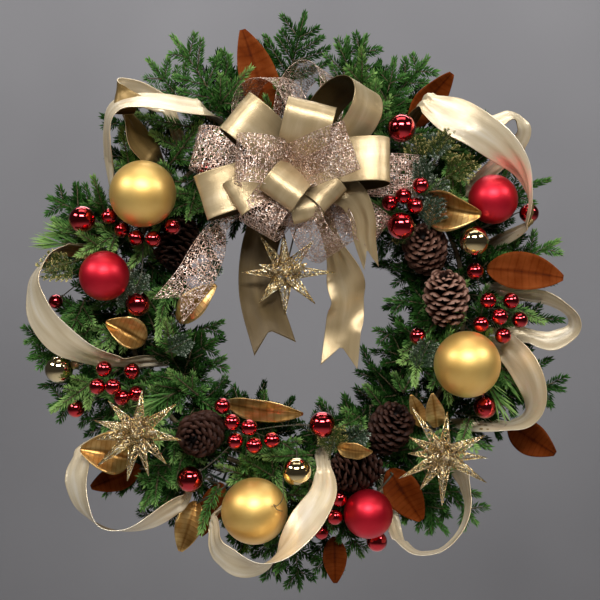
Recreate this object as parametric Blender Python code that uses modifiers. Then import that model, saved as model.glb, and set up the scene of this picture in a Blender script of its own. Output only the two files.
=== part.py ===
"""A decorated christmas wreath: fir sprays on a wire ring, with baubles, berry picks, pine cones,
magnolia leaves, wire stars, a ribbon garland and a big bow.

Metres, +Z up. The front faces -Y and the wall is the plane y = 0. The origin is the top of the
hanging loop. Places are given from the ring's centre as (right, up, out from the wall).
"""
import math
import random

import bmesh
import bpy
from mathutils import Matrix, Vector
from mathutils.bvhtree import BVHTree

DROP = 0.300  # the hanging loop's top above the ring's centre
WIRE = 0.004  # side of the frame's square wire
BACK_RINGS = (0.178, 0.244)
INNER, OUTER = BACK_RINGS
FRONT_RING = 0.211
FRONT_RING_OUT = 0.025
BARS = 8
GAP = 0.0003
STEM_RADIUS = 0.0012

BUNCHES = 9
TWIG_STEP = 0.017
NEEDLE = 0.021
SEED = 600

GOLD_MATTE_RADIUS = 0.040
RED_MATTE_RADIUS = 0.030
GOLD_SHINY_RADIUS = 0.0175
BERRY = 0.010
BIG = 0.0165

RIBBON_WIDTH = 0.045
W = RIBBON_WIDTH
RIBBON_THICKNESS = 0.001
BOW = (-0.004, 0.168)  # the bow's middle, right and up
CONE_LENGTH = 0.070
CONE_RADIUS = 0.021
STAR_RADIUS = 0.057
LEAF_THICKNESS = 0.0012

GOLD = (0.78, 0.50, 0.16)
PALE_GOLD = (0.80, 0.66, 0.42)
ROSE_GOLD = (0.62, 0.48, 0.38)
RED = (0.50, 0.01, 0.03)
RUSSET = (0.42, 0.11, 0.03)
BROWN = (0.13, 0.06, 0.035)
GREEN = (0.035, 0.12, 0.045)
DARK_GREEN = (0.02, 0.06, 0.03)

# Each spray: radial, sideways and forward aim, place in the bunch, length, lift at its tip.
SPRAYS = (
    (1.0, 0.00, 0.16, 0.0, 0.125, 0.006),
    (1.0, 0.32, 0.10, 0.36, 0.118, 0.010),
    (1.0, -0.38, 0.12, -0.36, 0.118, 0.008),
    (-1.0, 0.10, 0.22, 0.15, 0.092, 0.006),
    (-1.0, -0.35, 0.26, -0.3, 0.088, 0.004),
    (0.55, 0.75, 0.55, 0.2, 0.085, 0.0),
    (0.1, -0.85, 0.60, -0.05, 0.080, 0.0),
    (-0.5, 0.7, 0.65, 0.38, 0.075, 0.0),
    (1.0, 0.15, 0.45, 0.15, 0.095, 0.0),
)

GOLD_MATTE_PLACES = ((-0.183, 0.132, 0.105), (0.205, -0.072, 0.105), (-0.050, -0.249, 0.095))
RED_MATTE_PLACES = ((-0.230, 0.034, 0.100), (0.239, 0.127, 0.085), (0.088, -0.255, 0.080))
GOLD_SHINY_PLACES = ((-0.292, -0.080, 0.060), (0.214, 0.076, 0.100), (0.001, -0.201, 0.100))

# Each pick: where its wires meet, and its balls as (right, up, out, radius).
PICKS = (
    ((-0.190, 0.100, 0.052), (
        (-0.260, 0.103, 0.080, BIG), (-0.228, 0.107, 0.075, BERRY), (-0.213, 0.091, 0.070, BERRY),
        (-0.193, 0.080, 0.088, BERRY), (-0.171, 0.078, 0.099, BERRY), (-0.148, 0.093, 0.098, BERRY),
        (-0.110, 0.165, 0.060, 0.0135), (-0.193, 0.000, 0.075, 0.0155), (-0.297, 0.003, 0.055, 0.009))),
    ((-0.225, -0.095, 0.055), (
        (-0.231, -0.078, 0.095, BERRY), (-0.198, -0.081, 0.090, BERRY), (-0.239, -0.099, 0.095, BERRY),
        (-0.219, -0.099, 0.102, BERRY), (-0.210, -0.113, 0.090, BERRY), (-0.194, -0.109, 0.080, BERRY),
        (-0.271, -0.129, 0.060, 0.011))),
    ((-0.066, -0.158, 0.060), (
        (-0.089, -0.123, 0.088, BERRY), (-0.077, -0.142, 0.096, BERRY), (-0.056, -0.148, 0.100, BERRY),
        (-0.073, -0.165, 0.094, BERRY), (-0.050, -0.170, 0.098, BERRY), (-0.029, -0.164, 0.094, BERRY),
        (0.032, -0.146, 0.085, 0.016), (-0.129, -0.213, 0.080, 0.016))),
    ((0.240, -0.005, 0.055), (
        (0.232, 0.004, 0.092, BERRY), (0.260, 0.004, 0.090, BERRY), (0.245, -0.015, 0.098, BERRY),
        (0.223, -0.024, 0.095, BERRY), (0.271, -0.019, 0.088, BERRY), (0.250, -0.038, 0.092, BERRY),
        (0.217, 0.040, 0.085, 0.0105))),
    ((0.130, 0.140, 0.062), (
        (0.127, 0.212, 0.095, 0.0175, (0.128, 0.210, 0.050)), (0.149, 0.142, 0.110, BERRY),
        (0.129, 0.130, 0.100, BERRY), (0.143, 0.118, 0.102, BERRY), (0.113, 0.122, 0.095, BERRY),
        (0.126, 0.094, 0.100, BIG))),
    ((0.045, -0.262, 0.050), (
        (0.052, -0.236, 0.085, BERRY), (0.047, -0.258, 0.085, BERRY), (0.031, -0.279, 0.070, 0.0095),
        (0.100, -0.293, 0.055, 0.013))),
    ((0.212, -0.110, 0.046), ((0.232, -0.126, 0.066, 0.0145), (0.148, -0.039, 0.080, 0.0105))),
    ((0.266, 0.109, 0.046), ((0.285, 0.111, 0.072, 0.012),)),
)

# Each node: its cones as (centre, where its tip points, turn), and where the wires of two meet.
CONES = (
    ("pine_cone_1", (((-0.115, -0.158, 0.060), (-0.3, -0.2, 0.9), 10),), None),
    ("pine_cone_2", (((-0.146, 0.077, 0.052), (-0.2, -0.8, 0.4), 25),), None),
    ("pine_cone_3", (
        ((0.183, 0.006, 0.080), (-0.1, 0.85, 0.5), 0),
        ((0.160, 0.066, 0.060), (-0.2, 0.5, 0.7), 20)), (0.170, 0.038, 0.050)),
    ("pine_cone_4", (
        ((0.074, -0.203, 0.064), (-0.8, -0.1, 0.5), 5),
        ((0.114, -0.154, 0.066), (0.3, 0.7, 0.6), 15)), (0.094, -0.183, 0.052)),
)

# Each star: name, centre, spikes round its rim, turn, and the ring and the turn of its foot.
STARS = (
    ("gold_star_1", (-0.013, 0.038, 0.105), 8, 0, INNER, -25.5),
    ("gold_star_2", (-0.187, -0.151, 0.125), 10, 8, OUTER, 0.0),
    ("gold_star_3", (0.175, -0.178, 0.125), 10, 4, OUTER, 0.0),
)

# Each node: its leaves as (base, tip, width, bulge, fold, roll), and the turn of its foot.
MAGNOLIA = (
    ((((-0.030, 0.225, 0.028), (-0.067, 0.342, 0.042), 0.049, 0.004, 0.25, 10),), 0.0),
    ((((0.128, 0.262, 0.030), (0.199, 0.288, 0.045), 0.045, 0.006, 0.3, 10),), 0.0),
    ((((0.236, 0.044, 0.056), (0.327, 0.032, 0.072), 0.048, 0.006, 0.25, -10),), 0.0),
    ((((0.268, -0.150, 0.028), (0.322, -0.186, 0.048), 0.042, 0.006, 0.25, 10),), 6.0),
    ((((0.116, -0.206, 0.042), (0.156, -0.268, 0.050), 0.046, 0.004, 0.2, 10),
      ((0.048, -0.292, 0.030), (0.049, -0.348, 0.042), 0.030, 0.006, 0.2, 0)), 0.0),
    ((((-0.094, -0.226, 0.020), (-0.120, -0.292, 0.026), 0.032, 0.003, 0.2, 0),
      ((-0.194, -0.204, 0.036), (-0.255, -0.228, 0.046), 0.034, 0.006, 0.2, 0)), -4.5),
)
GILDED = (
    ((((0.158, 0.127, 0.070), (0.222, 0.108, 0.105), 0.044, 0.006, 0.45, 30),), 0.0),
    ((((-0.186, -0.046, 0.056), (-0.232, -0.022, 0.074), 0.034, 0.006, 0.3, 10),
      ((-0.146, -0.022, 0.052), (-0.098, 0.024, 0.070), 0.034, 0.006, 0.3, -10)), 0.0),
    ((((0.050, -0.172, 0.085), (0.092, -0.177, 0.100), 0.022, 0.004, 0.3, 20),), 5.0),
    ((((-0.087, -0.122, 0.050), (0.009, -0.134, 0.070), 0.030, 0.006, 0.3, 20),), 10.0),
    ((((-0.212, -0.188, 0.066), (-0.262, -0.181, 0.082), 0.044, 0.008, 0.4, 10),), 0.0),
    ((((0.173, -0.152, 0.060), (0.165, -0.108, 0.085), 0.024, 0.004, 0.3, 0),
      ((0.156, -0.150, 0.062), (0.140, -0.110, 0.082), 0.020, 0.004, 0.3, 0)), 0.0),
    ((((-0.124, -0.246, 0.038), (-0.144, -0.308, 0.044), 0.034, 0.004, 0.3, 0),), 5.5),
)

# Each loop: (first end, knots, last end, rows); an end is (ring, angle round it).
GARLAND = (
    ("ribbon_loop_1", (
        ((OUTER, 112), (
            (-0.125, 0.246, 0.085, 80, -55, W), (-0.165, 0.244, 0.105, 85, -58, W),
            (-0.205, 0.240, 0.112, 70, -45, W), (-0.232, 0.220, 0.105, 20, -35, W),
            (-0.240, 0.192, 0.090, 8, -45, W * 0.9), (-0.240, 0.168, 0.058, 0, -30, W * 0.6)),
         (OUTER, 158), 11),
        (None, (
            (-0.196, 0.244, 0.110, 78, -40, W * 0.7), (-0.226, 0.256, 0.104, 70, -5, W * 0.8),
            (-0.222, 0.270, 0.085, 85, 40, W * 0.8), (-0.195, 0.266, 0.064, 95, 40, W * 0.7),
            (-0.165, 0.250, 0.045, 110, 20, W * 0.5)),
         (OUTER, 126), 7))),
    ("ribbon_loop_2", (
        ((OUTER, 58), (
            (0.158, 0.250, 0.066, 45, 0, W * 0.5), (0.188, 0.227, 0.094, 50, 10, W),
            (0.222, 0.198, 0.112, 50, 10, W), (0.259, 0.176, 0.114, 48, 20, W),
            (0.290, 0.150, 0.098, 20, 50, W), (0.302, 0.118, 0.078, 0, 65, W),
            (0.292, 0.088, 0.050, 0, 45, W * 0.7)),
         (OUTER, 16), 11),)),
    ("ribbon_loop_3", (
        ((OUTER, 165), (
            (-0.283, 0.068, 0.050, 60, 60, W * 0.6), (-0.307, 0.055, 0.070, 20, 65, W),
            (-0.318, 0.025, 0.088, -10, 60, W), (-0.308, -0.012, 0.098, 20, 35, W),
            (-0.282, -0.044, 0.095, 50, 30, W), (-0.250, -0.062, 0.085, 70, 45, W),
            (-0.215, -0.072, 0.066, 75, 45, W * 0.8)),
         (INNER, 204), 12),)),
    ("ribbon_loop_4", (
        ((OUTER, 217), (
            (-0.272, -0.176, 0.050, 10, 40, W * 0.6), (-0.280, -0.207, 0.080, 0, 45, W),
            (-0.264, -0.242, 0.095, 30, 55, W), (-0.237, -0.266, 0.098, 60, 75, W),
            (-0.206, -0.270, 0.096, 95, 65, W), (-0.172, -0.258, 0.085, 115, 45, W),
            (-0.142, -0.242, 0.062, 125, 40, W * 0.7)),
         (OUTER, 238.5), 11),)),
    ("ribbon_loop_5", (
        ((INNER, 280), (
            (0.034, -0.198, 0.080, 0, 10, W * 0.5), (0.028, -0.228, 0.116, -25, 10, W * 0.9),
            (0.006, -0.262, 0.135, -45, 10, W), (-0.024, -0.295, 0.138, -65, 5, W),
            (-0.062, -0.312, 0.125, -100, 10, W), (-0.096, -0.300, 0.100, -150, 30, W),
            (-0.108, -0.274, 0.062, -185, 40, W * 0.7)),
         (OUTER, 254), 12),)),
    ("ribbon_loop_6", (
        ((OUTER, 317), (
            (0.205, -0.215, 0.058, 0, 40, W * 0.7), (0.214, -0.245, 0.075, -10, 65, W * 0.8),
            (0.203, -0.280, 0.084, -40, 75, W * 0.8), (0.172, -0.302, 0.086, -85, 78, W * 0.8),
            (0.145, -0.298, 0.074, -125, 70, W * 0.8), (0.122, -0.275, 0.050, -150, 50, W * 0.6)),
         (OUTER, 296), 11),)),
    ("ribbon_loop_7", (
        ((OUTER, 349), (
            (0.258, -0.050, 0.062, 80, 20, W * 0.8), (0.283, -0.070, 0.088, 45, 20, W),
            (0.299, -0.104, 0.090, 5, 30, W), (0.286, -0.138, 0.074, -45, 40, W),
            (0.258, -0.152, 0.050, -80, 40, W * 0.7)),
         (OUTER, 322), 9),)),
    ("ribbon_loop_8", (
        ((OUTER, 5), (
            (0.276, 0.010, 0.036, 90, 30, W * 0.6), (0.312, 0.004, 0.046, 60, 50, W * 0.9),
            (0.340, -0.014, 0.052, 20, 60, W * 0.9), (0.336, -0.040, 0.052, -40, 50, W * 0.9),
            (0.305, -0.046, 0.042, -80, 40, W * 0.7)),
         (OUTER, 353), 9),)),
)

# Each bow loop: direction, lean, length, bulge, roll.
MESH_BACK = (
    (112, -6, 0.108, 0.036, 68), (76, -16, 0.124, 0.032, 62), (172, -4, 0.112, 0.010, 15),
    (3, -2, 0.142, 0.008, 0), (-33, -4, 0.130, 0.008, 0))
SATIN_BACK = (
    (47, 20, 0.125, 0.022, 55), (67, 27, 0.088, 0.012, 0), (140, 27, 0.094, 0.012, 0),
    (4, 20, 0.122, 0.014, -12), (201, 18, 0.112, 0.012, 0), (197, 22, 0.086, 0.010, 5),
    (-37, 10, 0.100, 0.010, 0))
MESH_FRONT = (
    (182, 34, 0.080, 0.010, 0), (0, 32, 0.096, 0.010, 0), (234, 32, 0.080, 0.010, 0),
    (272, 26, 0.066, 0.008, 0), (-64, 18, 0.098, 0.010, 10))
SATIN_FRONT = ((236, 42, 0.080, 0.009, 20), (-66, 40, 0.078, 0.008, -10), (-38, 38, 0.074, 0.007, 0))
# Each tail: its knots as (right, up, out, lie, tilt, width), and its rows.
MESH_TAIL = ((
    (-0.045, 0.132, 0.084, 55, 0, W), (-0.078, 0.108, 0.088, 50, 0, W), (-0.102, 0.082, 0.094, 20, 20, W),
    (-0.114, 0.056, 0.100, 5, 10, W), (-0.127, 0.028, 0.106, 0, 0, W), (-0.148, -0.004, 0.108, -15, 0, W)), 8)
LEFT_TAIL = ((
    (-0.020, 0.140, 0.098, -5, 0, W * 0.8), (-0.034, 0.108, 0.090, -5, 0, W), (-0.043, 0.056, 0.074, 0, 0, W),
    (-0.043, 0.006, 0.064, 5, 0, W), (-0.026, -0.046, 0.060, 15, 0, W)), 7)
RIGHT_TAIL = ((
    (0.016, 0.140, 0.098, 10, 0, W * 0.8), (0.038, 0.106, 0.090, 15, 20, W * 0.8),
    (0.062, 0.064, 0.080, 20, 30, W), (0.076, 0.024, 0.074, 0, 20, W), (0.072, -0.016, 0.074, -10, -10, W),
    (0.060, -0.062, 0.072, 0, 0, W)), 8)


def at(right, up, out):
    """A place given from the ring's centre and the wall."""
    return Vector((right, -out, up - DROP))


def around(radius, degrees, out):
    """A place on a circle round the ring's centre, counted anticlockwise from the right."""
    angle = math.radians(degrees)
    return at(radius * math.cos(angle), radius * math.sin(angle), out)


def clear_scene():
    for leftover in list(bpy.data.objects):
        bpy.data.objects.remove(leftover)


def collection(name):
    made = bpy.data.collections.new(name)
    bpy.context.scene.collection.children.link(made)
    return made


def material(name, colour, roughness, metallic=0.0):
    made = bpy.data.materials.new(name)
    made.use_nodes = True
    surface = made.node_tree.nodes["Principled BSDF"]
    surface.inputs["Base Color"].default_value = (*colour, 1.0)
    surface.inputs["Roughness"].default_value = roughness
    surface.inputs["Metallic"].default_value = metallic
    return made


def mesh_from(bm, name="piece"):
    bmesh.ops.recalc_face_normals(bm, faces=bm.faces)
    if bm.calc_volume(signed=True) < 0:
        bmesh.ops.reverse_faces(bm, faces=bm.faces)
    made = bpy.data.meshes.new(name)
    bm.to_mesh(made)
    bm.free()
    return made


def evaluated_mesh(obj):
    """The mesh of an object with its modifiers or bevel; the object itself is removed."""
    bpy.context.view_layer.update()
    graph = bpy.context.evaluated_depsgraph_get()
    made = bpy.data.meshes.new_from_object(obj.evaluated_get(graph))
    made.transform(obj.matrix_world)
    bpy.data.objects.remove(obj)
    return made


def wire(points, radius=STEM_RADIUS, resolution=0):
    """A round wire through the points, with closed ends."""
    curve = bpy.data.curves.new("wire", "CURVE")
    curve.dimensions = "3D"
    curve.bevel_depth = radius
    curve.bevel_resolution = resolution
    curve.use_fill_caps = True
    spline = curve.splines.new("POLY")
    spline.points.add(len(points) - 1)
    for knot, point in zip(spline.points, points):
        knot.co = (*point, 1.0)
    obj = bpy.data.objects.new("wire", curve)
    CUTTERS.objects.link(obj)
    made = evaluated_mesh(obj)
    bm = bmesh.new()
    bm.from_mesh(made)
    bmesh.ops.remove_doubles(bm, verts=bm.verts, dist=0.00001)
    return mesh_from(bm)


def ball(centre, radius, around_count=6, up_count=4):
    bm = bmesh.new()
    bmesh.ops.create_uvsphere(bm, u_segments=around_count, v_segments=up_count, radius=radius)
    bmesh.ops.rotate(bm, verts=bm.verts, matrix=Matrix.Rotation(math.radians(90), 3, "X"))
    bmesh.ops.translate(bm, verts=bm.verts, vec=centre)
    return mesh_from(bm)


def cylinder(centre, axis, radius, length, sides=8):
    bm = bmesh.new()
    bmesh.ops.create_cone(bm, cap_ends=True, segments=sides, radius1=radius, radius2=radius, depth=length)
    turn = Vector((0, 0, 1)).rotation_difference(axis).to_matrix()
    bmesh.ops.rotate(bm, verts=bm.verts, matrix=turn)
    bmesh.ops.translate(bm, verts=bm.verts, vec=centre)
    return mesh_from(bm)


def drop_slivers(bm):
    """Removes all but the largest connected skin of a mesh, with any sealed hollow."""
    left = set(bm.faces)
    largest = set()
    while left:
        reached = {left.pop()}
        fresh = list(reached)
        while fresh:
            for edge in fresh.pop().edges:
                for face in edge.link_faces:
                    if face in left:
                        left.remove(face)
                        reached.add(face)
                        fresh.append(face)
        if len(reached) > len(largest):
            largest = reached
    bmesh.ops.delete(bm, geom=[face for face in bm.faces if face not in largest], context="FACES")


def fuse(name, pieces, look, solver="EXACT"):
    """Joins closed meshes that run into each other into one named solid of the wreath."""
    others = bpy.data.collections.new(name + "_pieces")
    CUTTERS.children.link(others)
    base = bpy.data.objects.new(name + "_base", pieces[0])
    CUTTERS.objects.link(base)
    for index, piece in enumerate(pieces[1:]):
        others.objects.link(bpy.data.objects.new(f"{name}_{index}", piece))
    if len(pieces) > 1:
        union = base.modifiers.new("union", "BOOLEAN")
        union.operation = "UNION"
        union.operand_type = "COLLECTION"
        union.collection = others
        union.solver = solver
    made = evaluated_mesh(base)
    for obj in list(others.objects):
        bpy.data.objects.remove(obj)
    bpy.data.collections.remove(others)
    bm = bmesh.new()
    bm.from_mesh(made)
    drop_slivers(bm)
    bmesh.ops.dissolve_limit(bm, angle_limit=math.radians(0.5), verts=bm.verts, edges=bm.edges)
    bmesh.ops.triangulate(bm, faces=bm.faces)
    bm.to_mesh(made)
    bm.free()
    made.name = name
    made.materials.clear()
    made.materials.append(look)
    obj = bpy.data.objects.new(name, made)
    WREATH.objects.link(obj)


def foot(place, ring=None, shift=0.0):
    """The last two points of a stem: above the nearer back ring, and down on its front face."""
    right, up = place.x, place.z + DROP
    radius = math.hypot(right, up)
    degrees = math.degrees(math.atan2(up, right)) + shift
    if ring is None:
        ring = min(BACK_RINGS, key=lambda r: abs(r - radius))
    return [around(ring, degrees, 0.045), around(ring, degrees, WIRE + GAP)]


def smooth_path(knots, count):
    """Points on a smooth curve through the knots; each knot is a list of numbers."""
    line = [knots[0]] + list(knots) + [knots[-1]]
    out = []
    spans = len(knots) - 1
    for step in range(count + 1):
        along = step / count * spans
        index = min(int(along), spans - 1)
        t = along - index
        a, b, c, d = line[index:index + 4]
        out.append([
            q + 0.5 * t * (r - p + t * (2 * p - 5 * q + 4 * r - s + t * (3 * q - p - 3 * r + s)))
            for p, q, r, s in zip(a, b, c, d)
        ])
    return out


def thicken(bm, thickness):
    """Turns an open strip into a closed sheet of even thickness."""
    obj = bpy.data.objects.new("sheet", mesh_from(bm))
    CUTTERS.objects.link(obj)
    solid = obj.modifiers.new("thickness", "SOLIDIFY")
    solid.thickness = thickness
    solid.offset = 0.0
    return evaluated_mesh(obj)


def strip(rows, thickness=RIBBON_THICKNESS):
    """A ribbon through rows of (centre, direction across, width)."""
    bm = bmesh.new()
    previous = None
    for centre, across, width in rows:
        edge = [bm.verts.new(centre + across * (width / 2 * side)) for side in (-1, 1)]
        if previous:
            bm.faces.new((previous[0], previous[1], edge[1], edge[0]))
        previous = edge
    return thicken(bm, thickness)


def ribbon_rows(knots, count):
    """Rows of a ribbon from knots of (right, up, out, lie, tilt, width).

    lie is the angle of the ribbon's width in the picture, anticlockwise from the right, and tilt
    turns its far edge out towards the viewer, both in degrees.
    """
    rows = []
    samples = smooth_path(knots, count)
    places = [at(*sample[:3]) for sample in samples]
    for index, sample in enumerate(samples):
        before = places[max(index - 1, 0)]
        after = places[min(index + 1, count)]
        tangent = (after - before).normalized()
        lie, tilt = math.radians(sample[3]), math.radians(sample[4])
        across = Vector((math.cos(lie) * math.cos(tilt), -math.sin(tilt), math.sin(lie) * math.cos(tilt)))
        across = (across - tangent * across.dot(tangent)).normalized()
        rows.append((places[index], across, sample[5]))
    return rows


# The wire frame: two square rings flat on the wall, one in front, and bars that join them.
def turned_ring(radius, out):
    """A ring of square wire, turned from its section."""
    profile = bpy.data.meshes.new("section")
    corners = [(radius + x * WIRE / 2, 0.0, out + y * WIRE) for x, y in ((-1, 0), (1, 0), (1, 1), (-1, 1))]
    profile.from_pydata(corners, [(0, 1), (1, 2), (2, 3), (3, 0)], [])
    obj = bpy.data.objects.new("ring", profile)
    CUTTERS.objects.link(obj)
    turn = obj.modifiers.new("turn", "SCREW")
    turn.angle = math.tau
    turn.steps = 28
    turn.render_steps = 28
    turn.use_merge_vertices = True
    turn.merge_threshold = 0.0001
    obj.rotation_euler = (math.radians(90), 0, 0)
    obj.location = at(0, 0, 0)
    bm = bmesh.new()
    bm.from_mesh(evaluated_mesh(obj))
    return mesh_from(bm)


def box(centre, size, degrees):
    bm = bmesh.new()
    bmesh.ops.create_cube(bm, size=1.0)
    bmesh.ops.scale(bm, verts=bm.verts, vec=size)
    bmesh.ops.rotate(bm, verts=bm.verts, matrix=Matrix.Rotation(-math.radians(degrees), 3, "Y"))
    bmesh.ops.translate(bm, verts=bm.verts, vec=centre)
    return mesh_from(bm)


def wire_frame():
    pieces = [turned_ring(radius, 0.0) for radius in BACK_RINGS]
    pieces.append(turned_ring(FRONT_RING, FRONT_RING_OUT))
    reach = BACK_RINGS[1] - BACK_RINGS[0] + WIRE * 0.6
    for bar in range(BARS):
        degrees = 360 / BARS * (bar + 0.5)
        pieces.append(box(around(FRONT_RING, degrees, WIRE * 0.5), (reach, WIRE * 0.75, 0.010), degrees))
        post = FRONT_RING_OUT + WIRE * 0.5
        middle = around(FRONT_RING, degrees, post / 2 + 0.001)
        pieces.append(box(middle, (WIRE * 0.8, post, WIRE * 0.8), degrees))
    fuse("wire_frame", pieces, material("green_wire", DARK_GREEN, 0.5, 0.3))


def hanging_loop():
    """A loop of thin cord, tied in front of the outer ring and up to the nail."""
    radius = 0.0009
    half = 0.007
    low = BACK_RINGS[1] - 0.003
    top = DROP - radius
    out = WIRE + GAP + radius
    steps = ((0.3, low), (0.8, low + 0.02), (1, top - 0.03), (0.9, top - 0.01))
    left = [at(-half * share, up, out) for share, up in steps]
    crown = [at(-half * 0.5, top - 0.002, out), at(0, top, out), at(half * 0.5, top - 0.002, out)]
    right = [Vector((-p.x, p.y, p.z)) for p in reversed(left)]
    knot = ball(at(0, low, out + 0.0014), 0.0023, 6, 5)
    fuse("hanging_loop", [wire(left + crown + right, radius), knot], material("cord", PALE_GOLD, 0.7))


# Baubles, each with its metal cap behind and a wire stem down to the frame.
def bauble(name, place, radius, look, sides):
    centre = at(*place)
    knee, end = foot(centre)
    back = (knee - centre).normalized()
    cap = cylinder(centre + back * (radius + 0.002), back, radius * 0.2 + 0.002, 0.008)
    stem = wire([centre + back * (radius * 0.8), knee, end])
    fuse(name, [ball(centre, radius, sides, sides // 2 + 1), cap, stem], look)


def baubles():
    gold = material("matte_gold", GOLD, 0.35, 0.8)
    red = material("matte_red", RED, 0.35, 0.6)
    shiny = material("shiny_gold", GOLD, 0.08, 1.0)
    for index, place in enumerate(GOLD_MATTE_PLACES):
        bauble(f"gold_matte_bauble_{index + 1}", place, GOLD_MATTE_RADIUS, gold, 10)
    for index, place in enumerate(RED_MATTE_PLACES):
        bauble(f"red_matte_bauble_{index + 1}", place, RED_MATTE_RADIUS, red, 10)
    for index, place in enumerate(GOLD_SHINY_PLACES):
        bauble(f"gold_shiny_bauble_{index + 1}", place, GOLD_SHINY_RADIUS, shiny, 8)


# Berry picks: shiny red balls on wires that meet in one stem.
def berry_pick(name, berries, hub, look):
    """Each berry is (right, up, out, radius), and may add a place where its wire bends."""
    middle = at(*hub)
    pieces = [wire([middle + Vector((0, -0.002, 0)), *foot(middle)], 0.0016)]
    for right, up, out, radius, *bend in berries:
        centre = at(right, up, out)
        pieces.append(wire([middle, *(at(*place) for place in bend), centre], 0.0009))
        pieces.append(ball(centre, radius, 6, 4 if radius > 0.0125 else 3))
    fuse(name, pieces, look)


# Pine cones: a turned body whose faces are drawn out, every other one, into scales.
def cone_body(centre, axis, turn):
    sides, rows = 7, 6
    bm = bmesh.new()
    bmesh.ops.create_uvsphere(bm, u_segments=sides, v_segments=rows, radius=1.0)
    chosen = []
    for face in bm.faces:
        middle = face.calc_center_median()
        column = math.floor((math.atan2(middle.y, middle.x) % math.tau) / math.tau * sides)
        row = math.floor(math.acos(max(-1.0, min(1.0, middle.z))) / math.pi * rows)
        if len(face.verts) == 4 and (row + column) % 2 == 0:
            chosen.append(face)
    for vert in bm.verts:
        t = (1 - vert.co.z) / 2
        waist = CONE_RADIUS * (1.1 - 0.35 * t)
        vert.co = Vector((vert.co.x * waist, vert.co.y * waist, (0.5 - t) * CONE_LENGTH * 0.9))
    scales = bmesh.ops.extrude_discrete_faces(bm, faces=chosen)["faces"]
    for scale in scales:
        middle = scale.calc_center_median()
        outward = Vector((middle.x, middle.y, 0)).normalized()
        tip = middle + outward * 0.008 + Vector((0, 0, -0.003))
        for vert in scale.verts:
            offset = vert.co - middle
            vert.co = tip + Vector((offset.x * 0.75, offset.y * 0.75, offset.z * 0.3))
    turned = axis.to_track_quat("-Z", "Y").to_matrix() @ Matrix.Rotation(math.radians(turn), 3, "Z")
    bmesh.ops.rotate(bm, verts=bm.verts, matrix=turned)
    bmesh.ops.translate(bm, verts=bm.verts, vec=centre)
    return mesh_from(bm)


def pine_cones(name, cones, look, hub=None):
    """One cone, or two wired together; each is (place, where its tip points, turn)."""
    first = at(*cones[0][0])
    middle = at(*hub) if hub else first
    pieces = [wire([middle, *foot(middle)], 0.0015)]
    for place, pointing, turn in cones:
        centre = at(*place)
        if hub:
            pieces.append(wire([middle, centre], 0.0015))
        axis = Vector((pointing[0], -pointing[2], pointing[1])).normalized()
        pieces.append(cone_body(centre, axis, turn))
    fuse(name, pieces, look)


# Wire stars: a ball whose faces are drawn up into spikes, the longest round its rim.
def star(name, place, points, turn, look, ring, shift):
    bm = bmesh.new()
    bmesh.ops.create_uvsphere(bm, u_segments=points, v_segments=5, radius=STAR_RADIUS * 0.24)
    upright = Matrix.Rotation(math.radians(turn), 3, "Y") @ Matrix.Rotation(math.radians(90), 3, "X")
    bmesh.ops.rotate(bm, verts=bm.verts, matrix=upright)
    quads = [face for face in bm.faces if len(face.verts) == 4]
    for tip in bmesh.ops.poke(bm, faces=quads)["verts"]:
        direction = tip.co.normalized()
        length = 1.0
        if direction.y < -0.3:
            length = 0.8
        if direction.y > 0.3:
            length = 0.42
        tip.co = direction * STAR_RADIUS * length
    nose = min(bm.verts, key=lambda vert: abs(vert.co.x) + abs(vert.co.z) + 2 * max(vert.co.y, 0))
    nose.co *= 2.6
    centre = at(*place)
    bmesh.ops.translate(bm, verts=bm.verts, vec=centre)
    stem = wire([centre, *foot(centre, ring, shift)], 0.0012)
    fuse(name, [mesh_from(bm), stem], look)


# Leaves: a thin blade folded a little along its midrib, and a stalk down to the frame.
def blade(base, tip, width, bulge, fold, roll):
    root, end = at(*base), at(*tip)
    along = (end - root).normalized()
    flat = along.cross(Vector((0, -1, 0))).normalized()
    across = Matrix.Rotation(math.radians(roll), 3, along) @ flat
    normal = across.cross(along)
    bm = bmesh.new()
    previous = None
    for t in (0.0, 0.3, 0.72, 1.0):
        half = width / 2 * math.sin(math.pi * (0.03 + 0.92 * t ** 0.85)) ** 0.8
        middle = root.lerp(end, t) + normal * bulge * math.sin(math.pi * t)
        row = [
            bm.verts.new(middle + across * half * side + normal * fold * half * abs(side))
            for side in (-1, 0, 1)
        ]
        if previous:
            for k in range(2):
                bm.faces.new((previous[k], previous[k + 1], row[k + 1], row[k]))
        previous = row
    return thicken(bm, LEAF_THICKNESS)


def leaf_spray(name, leaves, look, shift):
    """Leaves on one stalk; each is (base, tip, width, bulge, fold, roll)."""
    first = at(*leaves[0][0])
    knee, end = foot(first, shift=shift)
    pieces = [wire([knee + (knee - end).normalized() * 0.001, end], 0.0014)]
    for base, tip, width, bulge, fold, roll in leaves:
        root, point = at(*base), at(*tip)
        pieces.append(wire([knee, root + (point - root).normalized() * 0.003], 0.0014))
        pieces.append(blade(base, tip, width, bulge, fold, roll))
    fuse(name, pieces, look)


# The ribbon garland: each loop rises from the frame and comes back down to it.
def loop_end(rows, ring, degrees, width=0.012):
    """Rows that bring a ribbon down on a back ring, edge first."""
    centre, across, _ = rows[-1]
    angle = math.radians(degrees)
    level = Vector((-math.sin(angle), 0, math.cos(angle)))
    if level.dot(across) < 0:
        level = -level
    landing = around(ring, degrees, 0.014)
    on_way = landing.lerp(centre, 0.42)
    on_way.y = -0.034
    half_way = (across + level).normalized()
    last = around(ring, degrees, WIRE + 2 * GAP)
    return [(on_way, half_way, width * 1.6), (landing, level, width), (last, level, width)]


def ribbon_loop(name, strands, look):
    pieces = []
    for first, knots, last, count in strands:
        rows = ribbon_rows(knots, count)
        if first:
            rows = loop_end(rows[::-1], *first)[::-1] + rows
        if last:
            rows = rows + loop_end(rows, *last)
        pieces.append(strip(rows))
    fuse(name, pieces, look)


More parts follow.
